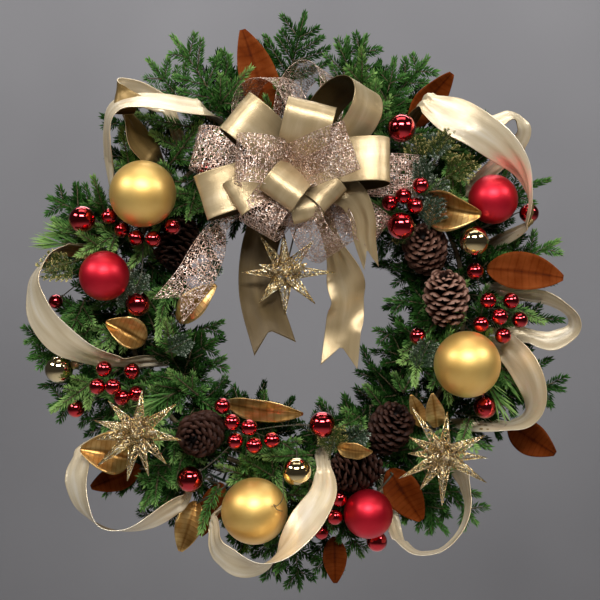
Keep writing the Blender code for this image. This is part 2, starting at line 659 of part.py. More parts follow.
# The bow: four layers on short cores, one in front of the other, each with its loops and tails.
def bow_loop(core, direction, lean, length, bulge, roll, count=6):
    """One loop of ribbon out of the core and back.

    direction is its angle in the picture, lean tips it towards the viewer, and roll turns its
    width from lying in the picture (0) to pointing at the viewer (90).
    """
    flat = Vector((math.cos(math.radians(direction)), 0, math.sin(math.radians(direction))))
    viewer = Vector((0, -1, 0))
    along = flat * math.cos(math.radians(lean)) + viewer * math.sin(math.radians(lean))
    side = along.cross(viewer).normalized()
    across = Matrix.Rotation(math.radians(roll), 3, along) @ side
    over = along.cross(across)
    rows = []
    for step in range(count + 1):
        t = step / count
        reach = (1 - math.cos(math.tau * t)) / 2
        swell = math.sin(math.tau * t) * math.sin(math.pi * t) / 0.77
        place = core + along * length * reach + over * (bulge * swell + 0.0028 * math.cos(math.pi * t))
        width = RIBBON_WIDTH * min(1.0, 0.14 + 1.7 * reach)
        rows.append((place, across, width))
    return strip(rows)


def bow_layer(name, out, depth, loops, tails, look, stem=False):
    core = at(BOW[0], BOW[1], out)
    pieces = [cylinder(core, Vector((0, 1, 0)), 0.0065, depth - GAP, 8)]
    for loop in loops:
        pieces.append(bow_loop(core, *loop))
    for knots, count in tails:
        start = (BOW[0], BOW[1], out, knots[0][3], knots[0][4], 0.010)
        pieces.append(strip(ribbon_rows([start, *knots], count)))
    if stem:
        pieces.append(wire([core, *foot(core)], 0.002))
    fuse(name, pieces, look)


# Fir: sprays of twigs on a woody stem that lies on the front ring.
def keep_out():
    """Everything made so far, as one tree for finding what is near."""
    verts, faces = [], []
    for obj in WREATH.objects:
        start = len(verts)
        verts.extend(vert.co.copy() for vert in obj.data.vertices)
        faces.extend([start + index for index in face.vertices] for face in obj.data.polygons)
    return BVHTree.FromPolygons(verts, faces)


def is_clear(tree, point, margin):
    return tree.find_nearest(point)[3] > margin


def run_is_clear(tree, start, end, margin):
    """Whether a straight run keeps its distance from everything."""
    run = end - start
    steps = max(2, int(run.length / 0.004))
    if any(not is_clear(tree, start + run * (k / steps), margin) for k in range(1, steps + 1)):
        return False
    hit = tree.ray_cast(start, run.normalized(), run.length + margin)
    return hit[0] is None


def twig_path(start, direction, length, sag, pieces):
    lift = Vector((0, -1, 0)) * sag
    return [start + direction * (length * k / pieces) + lift * (k / pieces) ** 2 for k in range(pieces + 1)]


def twig(tree, path, thick, needle, turn):
    """A three-sided twig whose faces are drawn up into needles where there is room."""
    bm = bmesh.new()
    sides = 3
    previous = None
    rows = []
    count = len(path) - 1
    for index, place in enumerate(path):
        tangent = (path[min(index + 1, count)] - path[max(index - 1, 0)]).normalized()
        side = tangent.cross(Vector((0.31, 0.2, 0.93))).normalized()
        up = side.cross(tangent)
        radius = thick * (1 - 0.55 * index / count)
        ring = []
        for k in range(sides):
            angle = math.tau * k / sides + turn + index * 1.05
            ring.append(bm.verts.new(place + (side * math.cos(angle) + up * math.sin(angle)) * radius))
        if previous:
            for k in range(sides):
                face = bm.faces.new((previous[k], previous[(k + 1) % sides], ring[(k + 1) % sides], ring[k]))
                rows.append((face, tangent, place))
        previous = ring
    bm.faces.new(list(previous))
    bm.faces.new(list(bm.verts)[:sides])
    for face, tangent, place in rows:
        middle = face.calc_center_median()
        outward = middle - place
        outward = (outward - tangent * outward.dot(tangent)).normalized()
        tip = middle + (outward * 0.75 + tangent * 0.65) * needle
        tip.y = min(tip.y, -0.006)
        corners = [vert.co for vert in face.verts]
        roots = corners + [corner.lerp(middle, 0.5) for corner in corners]
        to_the_wall = outward.y > 0.55
        if to_the_wall or not run_is_clear(tree, middle, tip, 0.0014):
            continue
        if all(run_is_clear(tree, root, tip, 0.0006) for root in roots):
            apex = bmesh.ops.poke(bm, faces=[face])["verts"][0]
            apex.co = tip
    return mesh_from(bm)


def grow(tree, rng, start, aim, length, spread, sag):
    """A clear path for a twig, tried many ways and then shorter."""
    tries = 40
    for attempt in range(tries):
        reach = length * (1 - 0.55 * attempt / tries)
        direction = aim.copy()
        if attempt:
            direction += Vector([rng.uniform(-spread, spread) for _ in range(3)])
        direction.normalize()
        count = max(3, round(reach / TWIG_STEP))
        path = twig_path(start, direction, reach, sag, count)
        if all(run_is_clear(tree, a, b, 0.0032) for a, b in zip(path, path[1:])):
            return path
    return None


def fir_bunch(index, look):
    rng = random.Random(SEED + index)
    tree = keep_out()
    span = 360 / BUNCHES
    middle = span * (index + 0.5) + 4
    half = span / 2 - 1.2
    stem_out = FRONT_RING_OUT + WIRE + GAP + 0.0035
    arc = [around(FRONT_RING, middle + half * k / 3, stem_out) for k in range(-3, 4)]
    pieces = [wire(arc, 0.0032, 0)]
    for radial, sideways, forward, offset, length, sag in SPRAYS:
        degrees = middle + offset * span
        outwards = Vector((math.cos(math.radians(degrees)), 0, math.sin(math.radians(degrees))))
        along = Vector((-outwards.z, 0, outwards.x))
        aim = outwards * radial + along * sideways + Vector((0, -forward, 0))
        start = around(FRONT_RING, degrees, stem_out)
        stretch = length * rng.uniform(0.88, 1.12)
        path = grow(tree, rng, start, aim.normalized(), stretch, 0.28, sag)
        if path:
            pieces.append(twig(tree, path, 0.0026, NEEDLE, rng.uniform(0, math.tau)))
    fuse(f"fir_bunch_{index + 1}", pieces, look, "MANIFOLD")


def fir():
    look = material("fir", GREEN, 0.6)
    for index in range(BUNCHES):
        fir_bunch(index, look)


clear_scene()
WREATH = collection("christmas_wreath")
CUTTERS = collection("construction")

wire_frame()
hanging_loop()
baubles()
berry_red = material("shiny_red", RED, 0.08, 0.6)
for index, (hub, balls) in enumerate(PICKS):
    berry_pick(f"red_berry_pick_{index + 1}", balls, hub, berry_red)
cone_brown = material("cone_brown", BROWN, 0.7)
for name, cones, hub in CONES:
    pine_cones(name, cones, cone_brown, hub)
wire_gold = material("gold_wire", GOLD, 0.3, 0.9)
for name, place, points, turn, ring, shift in STARS:
    star(name, place, points, turn, wire_gold, ring, shift)
russet = material("russet_leaf", RUSSET, 0.55)
for index, (leaves, shift) in enumerate(MAGNOLIA):
    leaf_spray(f"magnolia_leaf_{index + 1}", leaves, russet, shift)
gilded = material("gilded_leaf", GOLD, 0.4, 0.7)
for index, (leaves, shift) in enumerate(GILDED):
    leaf_spray(f"gold_leaf_{index + 1}", leaves, gilded, shift)
satin = material("gold_satin", PALE_GOLD, 0.35)
for name, strands in GARLAND:
    ribbon_loop(name, strands, satin)
mesh_ribbon = material("glitter_mesh", ROSE_GOLD, 0.5, 0.5)
bow_layer("bow_mesh_back", 0.085, 0.018, MESH_BACK, (MESH_TAIL,), mesh_ribbon, stem=True)
bow_layer("bow_satin_back", 0.106, 0.024, SATIN_BACK, (LEFT_TAIL, RIGHT_TAIL), satin)
bow_layer("bow_mesh_front", 0.1305, 0.025, MESH_FRONT, (), mesh_ribbon)
bow_layer("bow_satin_front", 0.156, 0.026, SATIN_FRONT, (), satin)
fir()
for cutter in list(CUTTERS.all_objects):
    bpy.data.objects.remove(cutter)
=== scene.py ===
"""Looks for the christmas wreath: fir, baubles, berries, cones, leaves, stars, ribbons and bow.

Metres, +Z up, the front facing -Y and the wall at y = 0. Places are given from the ring's centre
as (right, up, out from the wall), as in the part's own source.
"""
import math
import random

import bmesh
import bpy
import numpy as np
from mathutils import Matrix, Vector, noise
from mathutils.bvhtree import BVHTree


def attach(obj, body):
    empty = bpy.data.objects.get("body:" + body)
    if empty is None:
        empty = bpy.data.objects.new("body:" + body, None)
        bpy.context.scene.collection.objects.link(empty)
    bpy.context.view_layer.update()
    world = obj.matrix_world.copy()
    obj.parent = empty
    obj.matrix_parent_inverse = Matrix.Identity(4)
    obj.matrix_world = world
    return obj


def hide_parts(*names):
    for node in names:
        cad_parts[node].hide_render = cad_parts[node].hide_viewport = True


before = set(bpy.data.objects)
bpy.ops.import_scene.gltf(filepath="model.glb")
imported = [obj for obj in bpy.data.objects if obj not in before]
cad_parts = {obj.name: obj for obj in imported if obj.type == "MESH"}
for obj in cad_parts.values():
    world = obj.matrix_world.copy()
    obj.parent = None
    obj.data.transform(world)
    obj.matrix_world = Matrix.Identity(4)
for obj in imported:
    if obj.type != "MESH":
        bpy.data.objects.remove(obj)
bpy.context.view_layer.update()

DROP = 0.300  # the hanging loop's top above the ring's centre
WIRE = 0.004
BACK_RINGS = (0.178, 0.244)
INNER, OUTER = BACK_RINGS
FRONT_RING = 0.211
FRONT_RING_OUT = 0.025
BARS = 8
GAP = 0.0003
CORD_RADIUS = 0.0009
CORD_STEPS = 160

GOLD_MATTE_RADIUS = 0.040
RED_MATTE_RADIUS = 0.030
GOLD_SHINY_RADIUS = 0.0175
BERRY = 0.010
BIG = 0.0165  # the bigger balls among the berries

CONE_LENGTH = 0.070
CONE_RADIUS = 0.027
CONE_CORE = 0.004
CONE_SCALES = 84
SCALE_THICKNESS = 0.0021
STAR_RADIUS = 0.057
SPIKE_LEGS = 4
SPIKE_BASE = 0.0080
SPIKE_START = 0.011  # from the star's centre
LEAF_THICKNESS = 0.0005  # on each side of its middle
LEAF_ROWS, LEAF_COLUMNS = 26, 13

W = 0.045  # ribbon width
TUCKED_WIDTH = 0.012  # where a ribbon comes down on the ring
PLEAT = 0.0032
BOW = (-0.004, 0.168)
LOOP_ROWS = 40
NET_PITCH = 0.0028
NET_STRAND = 0.00036
NET_CRUMPLE = 0.0006

NEEDLE = 0.0125
NEEDLE_WIDTH = 0.0019
NEEDLES_PER_METRE = 1900
GOLDEN_TURN = 2.39996  # radians from one needle to the next
CLEARANCE = 0.0045  # between a twig and an ornament
BUNCHES = 9
SPAN = 360 / BUNCHES
FILL_SPRIGS, BED_SPRIGS, FRONT_SPRIGS = 110, 36, 34  # in each bunch
SEED = 11

EYE = 1.6  # the camera's distance from the wall
LENS = 75.0
BACKDROP = 3.0  # behind the wall plane
FLOOR = -2.2
STAGE = 8  # half the width of the floor and the backdrop
STRIP_REACH = 2.3  # how far the three front lights stand from the nail, and how high above it
STRIP_HEIGHT = 1.05
STRIPS = ((-58, 1.1, 24), (0, 1.5, 56), (58, 1.1, 23))  # direction from the front, width, power

GOLD_MATTE_PLACES = ((-0.183, 0.132, 0.105), (0.205, -0.072, 0.105), (-0.050, -0.249, 0.095))
RED_MATTE_PLACES = ((-0.230, 0.034, 0.100), (0.239, 0.127, 0.085), (0.088, -0.255, 0.080))
GOLD_SHINY_PLACES = ((-0.292, -0.080, 0.060), (0.214, 0.076, 0.100), (0.001, -0.201, 0.100))

# Each pick: where its wires meet, and its balls as (right, up, out, radius).
PICKS = (
    ((-0.190, 0.100, 0.052), (
        (-0.260, 0.103, 0.080, BIG), (-0.228, 0.107, 0.075, BERRY), (-0.213, 0.091, 0.070, BERRY),
        (-0.193, 0.080, 0.088, BERRY), (-0.171, 0.078, 0.099, BERRY), (-0.148, 0.093, 0.098, BERRY),
        (-0.110, 0.165, 0.060, 0.0135), (-0.193, 0.000, 0.075, 0.0155), (-0.297, 0.003, 0.055, 0.009))),
    ((-0.225, -0.095, 0.055), (
        (-0.231, -0.078, 0.095, BERRY), (-0.198, -0.081, 0.090, BERRY), (-0.239, -0.099, 0.095, BERRY),
        (-0.219, -0.099, 0.102, BERRY), (-0.210, -0.113, 0.090, BERRY), (-0.194, -0.109, 0.080, BERRY),
        (-0.271, -0.129, 0.060, 0.011))),
    ((-0.066, -0.158, 0.060), (
        (-0.089, -0.123, 0.088, BERRY), (-0.077, -0.142, 0.096, BERRY), (-0.056, -0.148, 0.100, BERRY),
        (-0.073, -0.165, 0.094, BERRY), (-0.050, -0.170, 0.098, BERRY), (-0.029, -0.164, 0.094, BERRY),
        (0.032, -0.146, 0.085, 0.016), (-0.129, -0.213, 0.080, 0.016))),
    ((0.240, -0.005, 0.055), (
        (0.232, 0.004, 0.092, BERRY), (0.260, 0.004, 0.090, BERRY), (0.245, -0.015, 0.098, BERRY),
        (0.223, -0.024, 0.095, BERRY), (0.271, -0.019, 0.088, BERRY), (0.250, -0.038, 0.092, BERRY),
        (0.217, 0.040, 0.085, 0.0105))),
    ((0.130, 0.140, 0.062), (
        (0.127, 0.212, 0.095, 0.0175, (0.128, 0.210, 0.050)), (0.149, 0.142, 0.110, BERRY),
        (0.129, 0.130, 0.100, BERRY), (0.143, 0.118, 0.102, BERRY), (0.113, 0.122, 0.095, BERRY),
        (0.126, 0.094, 0.100, BIG))),
    ((0.045, -0.262, 0.050), (
        (0.052, -0.236, 0.085, BERRY), (0.047, -0.258, 0.085, BERRY), (0.031, -0.279, 0.070, 0.0095),
        (0.100, -0.293, 0.055, 0.013))),
    ((0.212, -0.110, 0.046), ((0.232, -0.126, 0.066, 0.0145), (0.148, -0.039, 0.080, 0.0105))),
    ((0.266, 0.109, 0.046), ((0.285, 0.111, 0.072, 0.012),)),
)

# Each node: its cones as (centre, where its tip points, turn, lightness of its scales), and their hub.
CONES = (
    ((((-0.115, -0.158, 0.060), (-0.3, -0.2, 0.9), 10, 0.35),), None),
    ((((-0.146, 0.077, 0.052), (-0.2, -0.8, 0.4), 25, 0.1),), None),
    ((((0.183, 0.006, 0.080), (-0.1, 0.85, 0.5), 0, 0.9),
      ((0.160, 0.066, 0.060), (-0.2, 0.5, 0.7), 20, 0.7)),
     (0.170, 0.038, 0.050)),
    ((((0.074, -0.203, 0.064), (-0.8, -0.1, 0.5), 5, 0.3),
      ((0.114, -0.154, 0.066), (0.3, 0.7, 0.6), 15, 0.3)),
     (0.094, -0.183, 0.052)),
)

# Each star: centre, its rim spikes as (direction, length), and the ring and the turn of its foot.
STARS = (
    ((-0.013, 0.038, 0.105), (
        (0, 0.060), (48, 0.052), (92, 0.050), (124, 0.055), (180, 0.052), (230, 0.048), (270, 0.052),
        (314, 0.052)), INNER, -25.5),
    ((-0.187, -0.151, 0.125), (
        (-10, 0.053), (36, 0.057), (83, 0.050), (134, 0.051), (166, 0.054), (190, 0.050), (220, 0.062),
        (259, 0.058), (285, 0.053), (313, 0.051)), OUTER, 0.0),
    ((0.175, -0.178, 0.125), (
        (25, 0.054), (-3, 0.050), (-33, 0.059), (267, 0.059), (236, 0.050), (208, 0.060), (178, 0.042),
        (153, 0.046), (124, 0.068), (85, 0.051)), OUTER, 0.0),
)

# Each node: its leaves as (base, tip, width, bulge, fold, roll), and the turn of its foot.
MAGNOLIA = (
    ((((-0.030, 0.225, 0.028), (-0.067, 0.342, 0.042), 0.049, 0.004, 0.25, 10),), 0.0),
    ((((0.142, 0.222, 0.030), (0.193, 0.286, 0.052), 0.040, -0.006, 0.35, 25),), 0.0),
    ((((0.236, 0.044, 0.056), (0.327, 0.032, 0.072), 0.048, 0.006, 0.25, -10),), 0.0),
    ((((0.268, -0.150, 0.028), (0.322, -0.186, 0.048), 0.042, 0.006, 0.25, 10),), 6.0),
    ((((0.116, -0.206, 0.042), (0.156, -0.268, 0.050), 0.046, 0.004, 0.2, 10),
      ((0.048, -0.292, 0.030), (0.049, -0.348, 0.042), 0.030, 0.006, 0.2, 0)), 0.0),
    ((((-0.094, -0.226, 0.020), (-0.120, -0.292, 0.026), 0.032, 0.003, 0.2, 0),
      ((-0.194, -0.204, 0.036), (-0.255, -0.228, 0.046), 0.034, 0.006, 0.2, 0)), -4.5),
)
GILDED = (
    ((((0.158, 0.127, 0.070), (0.222, 0.108, 0.105), 0.050, 0.004, 0.85, 25),), 0.0),
    ((((-0.186, -0.046, 0.056), (-0.232, -0.022, 0.074), 0.038, 0.006, 0.7, 10),
      ((-0.146, -0.022, 0.052), (-0.098, 0.024, 0.070), 0.034, 0.006, 0.3, -10)), 0.0),
    ((((0.050, -0.172, 0.085), (0.092, -0.177, 0.100), 0.022, 0.004, 0.3, 20),), 5.0),
    ((((-0.087, -0.122, 0.050), (0.009, -0.134, 0.070), 0.030, 0.006, 0.3, 20),), 10.0),
    ((((-0.204, -0.190, 0.060), (-0.262, -0.176, 0.082), 0.052, 0.008, 0.75, 15),), 0.0),
    ((((0.173, -0.152, 0.060), (0.165, -0.108, 0.085), 0.024, 0.004, 0.3, 0),
      ((0.156, -0.150, 0.062), (0.140, -0.110, 0.082), 0.020, 0.004, 0.3, 0)), 0.0),
    ((((-0.124, -0.246, 0.038), (-0.144, -0.308, 0.044), 0.034, 0.004, 0.3, 0),), 5.5),
)

# Each ribbon of the garland: its node, the side it shows (1 bright, -1 the matt side, darkened with painted
# shade,
# 0 for one that is bright on both sides), first end, knots and last end; an end is (ring, angle round it).
GARLAND = (
    (1, 1, (OUTER, 112), (
        (-0.112, 0.238, 0.086, 85, -55, W * 0.8), (-0.140, 0.240, 0.100, 85, -58, W),
        (-0.174, 0.244, 0.108, 88, -60, W), (-0.204, 0.242, 0.112, 105, -60, W),
        (-0.222, 0.228, 0.108, 140, -64, W), (-0.228, 0.202, 0.092, 170, -70, W * 0.9),
        (-0.230, 0.172, 0.060, 180, -68, W * 0.7)),
        (OUTER, 158)),
    (1, 1, None, (
        (-0.188, 0.238, 0.108, 78, -40, W * 0.7), (-0.213, 0.245, 0.104, 70, -5, W * 0.8),
        (-0.214, 0.257, 0.086, 85, 40, W * 0.8), (-0.192, 0.258, 0.064, 95, 40, W * 0.7),
        (-0.160, 0.246, 0.045, 110, 20, W * 0.5)), (OUTER, 126)),
    (1, -1, None, (
        (-0.206, 0.232, 0.092, 60, -60, W * 0.5), (-0.194, 0.205, 0.076, 40, -50, W * 0.9),
        (-0.176, 0.182, 0.058, 35, -45, W * 0.8)), (OUTER, 134)),
    (2, 1, (OUTER, 58), (
        (0.156, 0.249, 0.070, 45, 0, W * 0.5), (0.185, 0.229, 0.096, 50, 5, W),
        (0.219, 0.207, 0.112, 53, 20, W), (0.249, 0.183, 0.112, 50, 45, W),
        (0.271, 0.156, 0.106, 35, 72, W * 0.8), (0.282, 0.122, 0.098, 10, 104, W * 0.6),
        (0.281, 0.094, 0.080, 5, 112, W * 0.5)), (OUTER, 16)),
    (2, 1, None, (
        (0.215, 0.204, 0.094, 115, -20, W * 0.5), (0.238, 0.218, 0.088, 100, -40, W * 0.6),
        (0.262, 0.229, 0.080, 60, -60, W * 0.6), (0.277, 0.212, 0.070, -10, -50, W * 0.7),
        (0.268, 0.190, 0.050, -50, -40, W * 0.6)), (OUTER, 33)),
    (3, 1, (OUTER, 165), (
        (-0.283, 0.068, 0.050, 60, 75, W * 0.6), (-0.306, 0.055, 0.070, 20, 74, W),
        (-0.318, 0.025, 0.088, -10, 64, W), (-0.308, -0.012, 0.098, 20, 35, W),
        (-0.282, -0.044, 0.095, 50, 30, W), (-0.250, -0.062, 0.085, 70, 50, W * 0.9),
        (-0.215, -0.072, 0.066, 75, 60, W * 0.7)), (INNER, 204)),
    (4, 1, (OUTER, 217), (
        (-0.262, -0.176, 0.050, 10, 40, W * 0.6), (-0.266, -0.207, 0.080, 0, 48, W),
        (-0.258, -0.240, 0.095, 20, 56, W), (-0.236, -0.266, 0.098, 60, 80, W),
        (-0.203, -0.272, 0.096, 95, 76, W), (-0.168, -0.259, 0.085, 115, 62, W),
        (-0.138, -0.242, 0.062, 125, 55, W * 0.7)), (OUTER, 238.5)),
    (5, 0, (INNER, 280), (
        (0.034, -0.198, 0.080, 0, 20, W * 0.4), (0.032, -0.224, 0.112, -15, 35, W * 0.8),
        (0.012, -0.254, 0.132, -40, 42, W), (-0.014, -0.286, 0.140, -50, 70, W),
        (-0.042, -0.306, 0.134, -80, 118, W), (-0.072, -0.306, 0.122, -115, 138, W),
        (-0.096, -0.290, 0.104, -155, 118, W * 0.9), (-0.102, -0.262, 0.072, -185, 104, W * 0.6)),
        (OUTER, 254)),
    (6, 0, (OUTER, 317), (
        (0.206, -0.214, 0.058, 0, 70, W * 0.7), (0.210, -0.244, 0.075, -10, 84, W * 0.7),
        (0.200, -0.274, 0.084, -40, 92, W * 0.7), (0.175, -0.298, 0.086, -80, 93, W * 0.7),
        (0.146, -0.302, 0.078, -115, 88, W * 0.7), (0.124, -0.286, 0.060, -145, 76, W * 0.7)),
        (OUTER, 296)),
    (7, 1, (OUTER, 349), (
        (0.256, -0.050, 0.066, 60, 30, W * 0.8), (0.273, -0.073, 0.090, 50, 42, W),
        (0.284, -0.098, 0.096, 25, 52, W), (0.286, -0.122, 0.092, 0, 66, W),
        (0.276, -0.141, 0.080, -45, 80, W * 0.9),
        (0.252, -0.150, 0.062, -75, 88, W * 0.8)), (OUTER, 322)),
    (8, 1, (OUTER, 5), (
        (0.276, 0.012, 0.036, 80, 60, W * 0.6), (0.312, 0.006, 0.050, 70, 72, W * 0.9),
        (0.340, -0.012, 0.056, 35, 80, W * 0.9), (0.342, -0.032, 0.056, -30, 72, W * 0.8),
        (0.318, -0.045, 0.050, -75, 58, W * 0.9), (0.292, -0.040, 0.042, -85, 58, W * 0.7)),
        (OUTER, 353)),
)

# Each bow loop: the place of its root, direction, lean, length, bulge, roll, width.
MESH_BACK = (
    ((0.000, 0.162, 0.085), 113, -4, 0.120, 0.036, 58, 0.054),
    ((0.002, 0.164, 0.083), 80, -10, 0.130, 0.031, 54, 0.054),
    ((0.000, 0.160, 0.092), 167, 4, 0.126, 0.016, 14, 0.054),
    ((0.004, 0.160, 0.088), -2, -2, 0.146, 0.015, 0, 0.050),
    ((0.004, 0.156, 0.092), -36, 2, 0.122, 0.014, 0, 0.046))
SATIN_BACK = (
    ((0.004, 0.164, 0.104), 49, 18, 0.124, 0.029, 50, 0.054),
    ((0.002, 0.162, 0.116), 76, 34, 0.086, 0.020, 0, 0.057),
    ((0.000, 0.163, 0.112), 139, 27, 0.104, 0.018, 4, 0.054),
    ((0.004, 0.160, 0.110), 4, 20, 0.112, 0.018, -12, 0.054),
    ((0.000, 0.158, 0.106), 197, 14, 0.120, 0.016, 4, 0.054),
    ((0.000, 0.158, 0.112), 207, 27, 0.092, 0.012, 10, 0.044))
MESH_FRONT = (
    ((0.006, 0.158, 0.128), 173, 34, 0.088, 0.017, 8, 0.056),
    ((-0.006, 0.157, 0.136), 17, 46, 0.100, 0.016, 4, 0.056),
    ((0.002, 0.150, 0.120), 233, 24, 0.086, 0.020, 14, 0.048),
    ((0.002, 0.148, 0.118), 262, 24, 0.062, 0.014, 0, 0.048),
    ((0.008, 0.150, 0.120), -68, 14, 0.100, 0.025, 40, 0.052))
SATIN_FRONT = (
    ((0.006, 0.156, 0.130), 231, 50, 0.064, 0.017, 4, 0.046),
    ((0.004, 0.150, 0.122), -78, 34, 0.064, 0.013, 0, 0.036),
    ((0.008, 0.150, 0.122), -38, 40, 0.060, 0.013, -10, 0.038))

# Each tail: its knots as (right, up, out, lie, tilt, width).
MESH_TAIL = (
    (-0.045, 0.132, 0.096, 40, 10, W), (-0.070, 0.110, 0.098, 30, 25, W * 0.9),
    (-0.094, 0.090, 0.100, 10, 40, W * 0.9), (-0.106, 0.062, 0.102, 5, 15, W),
    (-0.122, 0.030, 0.106, 0, 0, W), (-0.146, 0.000, 0.108, -25, 0, W))
LEFT_TAIL = (
    (-0.016, 0.140, 0.080, -5, 0, W * 0.8), (-0.030, 0.112, 0.060, -5, 0, W),
    (-0.045, 0.066, 0.062, 0, 0, W), (-0.044, 0.012, 0.086, 5, -4, W * 1.1),
    (-0.028, -0.042, 0.114, 15, 0, W * 1.15))
RIGHT_TAIL = (
    (0.014, 0.140, 0.100, 10, 0, W * 0.5), (0.030, 0.110, 0.098, 25, 35, W * 0.5),
    (0.044, 0.074, 0.094, 25, 48, W * 0.6), (0.058, 0.036, 0.090, 8, 20, W),
    (0.063, 0.004, 0.080, -8, -28, W), (0.058, -0.030, 0.074, 0, 18, W),
    (0.054, -0.064, 0.076, 0, 0, W))
SHORT_TAIL = (
    (0.030, 0.142, 0.120, 30, 0, W * 0.7), (0.062, 0.130, 0.134, 25, 10, W * 0.8),
    (0.078, 0.104, 0.128, 12, 20, W * 0.7), (0.082, 0.078, 0.110, 5, 10, W * 0.6),
    (0.088, 0.054, 0.100, 0, 0, W * 0.4))

# Where the outermost sprigs end, and those that reach into the hole.
OUTER_TIPS = (
    (-0.152, 0.331), (-0.102, 0.321), (-0.090, 0.313), (-0.218, 0.288), (-0.182, 0.302),
    (-0.125, 0.310), (-0.309, 0.161), (-0.307, 0.132), (-0.307, 0.102), (0.001, 0.344), (0.011, 0.364),
    (0.036, 0.329), (0.064, 0.331), (0.087, 0.331), (0.122, 0.302), (0.163, 0.305), (0.154, 0.280),
    (0.319, 0.137), (0.324, 0.109), (0.336, 0.075), (0.315, 0.155), (0.333, 0.012), (0.339, -0.002),
    (0.334, -0.107), (0.317, -0.125), (0.329, -0.064), (0.295, -0.176), (0.281, -0.231),
    (0.290, -0.201), (0.223, -0.270), (0.186, -0.282), (0.167, -0.277), (0.005, -0.353),
    (-0.022, -0.342), (0.082, -0.322), (0.036, -0.339), (0.095, -0.328), (0.120, -0.307),
    (-0.309, -0.168), (-0.306, -0.127), (-0.297, -0.188), (-0.233, -0.225), (-0.222, -0.236),
    (-0.192, -0.248), (-0.171, -0.261), (-0.126, -0.248), (-0.139, -0.285), (-0.101, -0.319),
    (-0.076, -0.332), (-0.337, -0.106), (-0.329, -0.067), (-0.334, -0.047), (-0.313, 0.005),
    (-0.295, 0.192), (-0.263, 0.149), (-0.064, 0.292), (-0.039, 0.273), (0.192, 0.248), (0.217, 0.192),
    (0.255, 0.230))
INNER_TIPS = (
    (-0.039, -0.110), (-0.101, -0.045), (0.099, -0.032), (0.086, -0.101), (0.030, -0.120),
    (-0.090, -0.067), (-0.089, -0.092), (-0.070, -0.101), (-0.007, -0.116), (0.061, -0.115),
    (0.111, -0.051), (0.092, -0.072), (0.115, 0.005), (0.124, 0.042), (-0.114, 0.005), (-0.092, -0.022))

# Cedar sprigs as (right, up, out, direction, length, slot): gold-tipped ones, and frosted ones.
CEDAR = (
    (-0.262, 0.055, 0.070, 200, 0.050, 2), (-0.270, 0.036, 0.068, 150, 0.040, 2),
    (-0.205, 0.004, 0.078, 60, 0.040, 3), (-0.196, -0.012, 0.075, 110, 0.038, 3),
    (0.165, 0.168, 0.084, 60, 0.045, 2), (0.150, 0.162, 0.080, 100, 0.040, 2),
    (0.176, 0.150, 0.084, 30, 0.045, 2), (0.146, 0.185, 0.078, 20, 0.040, 3),
    (0.160, 0.140, 0.082, 110, 0.036, 3), (0.152, 0.112, 0.086, 60, 0.045, 3),
    (0.160, 0.088, 0.088, 80, 0.040, 3), (0.140, 0.070, 0.080, 120, 0.036, 2),
    (0.146, -0.086, 0.075, 70, 0.045, 3), (0.040, -0.190, 0.078, 80, 0.045, 2),
    (0.052, -0.176, 0.080, 40, 0.040, 3), (-0.098, 0.060, 0.060, 250, 0.036, 3),
    (-0.160, -0.060, 0.070, 30, 0.036, 3))
# Tufts of long needles as (right, up, out, direction, length).
LONG_TUFTS = (
    (-0.262, 0.072, 0.058, 176, 0.040), (-0.256, 0.080, 0.050, 166, 0.036),
    (0.232, -0.088, 0.062, 300, 0.050), (0.246, -0.080, 0.058, 320, 0.050),
    (-0.150, -0.110, 0.060, 200, 0.030))

# The loose curl of wire at the third gold bauble, as (right, up, out).
CURL = (
    (-0.020, -0.196, 0.085), (-0.015, -0.217, 0.108), (-0.016, -0.232, 0.113), (-0.022, -0.238, 0.124),
    (-0.026, -0.236, 0.128), (-0.022, -0.242, 0.127), (-0.016, -0.245, 0.120))

# Rows of a cone's scale from its root to its point, as shares of its length, width and thickness.
SCALE_ROWS = (
    (0.0, 0.35, 0.25), (0.35, 0.7, 0.3), (0.7, 0.98, 0.42), (0.88, 1.0, 0.95), (1.0, 0.62, 0.75),
    (1.05, 0.15, 0.3))

# Places across a satin ribbon, and half its thickness at each: its wired edges are thicker.
ACROSS = np.array([-1.0, -0.955, -0.92, -0.7, -0.5, -0.3, -0.1, 0.1, 0.3, 0.5, 0.7, 0.92, 0.955, 1.0])
THICK = np.array([0.00040, 0.00050] + [0.00024] * 10 + [0.00050, 0.00040])


def at(right, up, out):
    """A place given from the ring's centre and the wall."""
    return Vector((right, -out, up - DROP))


def around(radius, degrees, out):
    """A place on a circle round the ring's centre, counted anticlockwise from the right."""
    angle = math.radians(degrees)
    return at(radius * math.cos(angle), radius * math.sin(angle), out)


# Materials.
def nodes_of(look):
    return look.node_tree.nodes, look.node_tree.links


def material(name, colour, roughness, metallic=0.0, coat=0.0, sheen=0.0, specular=0.5, coat_rough=0.04):
    made = bpy.data.materials.new(name)
    made.use_nodes = True
    surface = made.node_tree.nodes["Principled BSDF"]
    surface.inputs["Base Color"].default_value = (*colour, 1.0)
    surface.inputs["Roughness"].default_value = roughness
    surface.inputs["Metallic"].default_value = metallic
    surface.inputs["Coat Weight"].default_value = coat
    surface.inputs["Coat Roughness"].default_value = coat_rough
    surface.inputs["Sheen Weight"].default_value = sheen
    surface.inputs["Specular IOR Level"].default_value = specular
    return made


def put(nodes, kind, **settings):
    """A new node with some of its settings and input values."""
    made = nodes.new(kind)
    for key, value in settings.items():
        if hasattr(made, key):
            setattr(made, key, value)
        else:
            made.inputs[key.replace("_", " ")].default_value = value
    return made


def ramp(nodes, links, source, stops):
    made = nodes.new("ShaderNodeValToRGB")
    elements = made.color_ramp.elements
    while len(elements) < len(stops):
        elements.new(0.5)
    for element, (place, colour) in zip(elements, stops):
        element.position = place
        element.color = (*colour, 1.0)
    links.new(source, made.inputs["Fac"])
    return made.outputs["Color"]


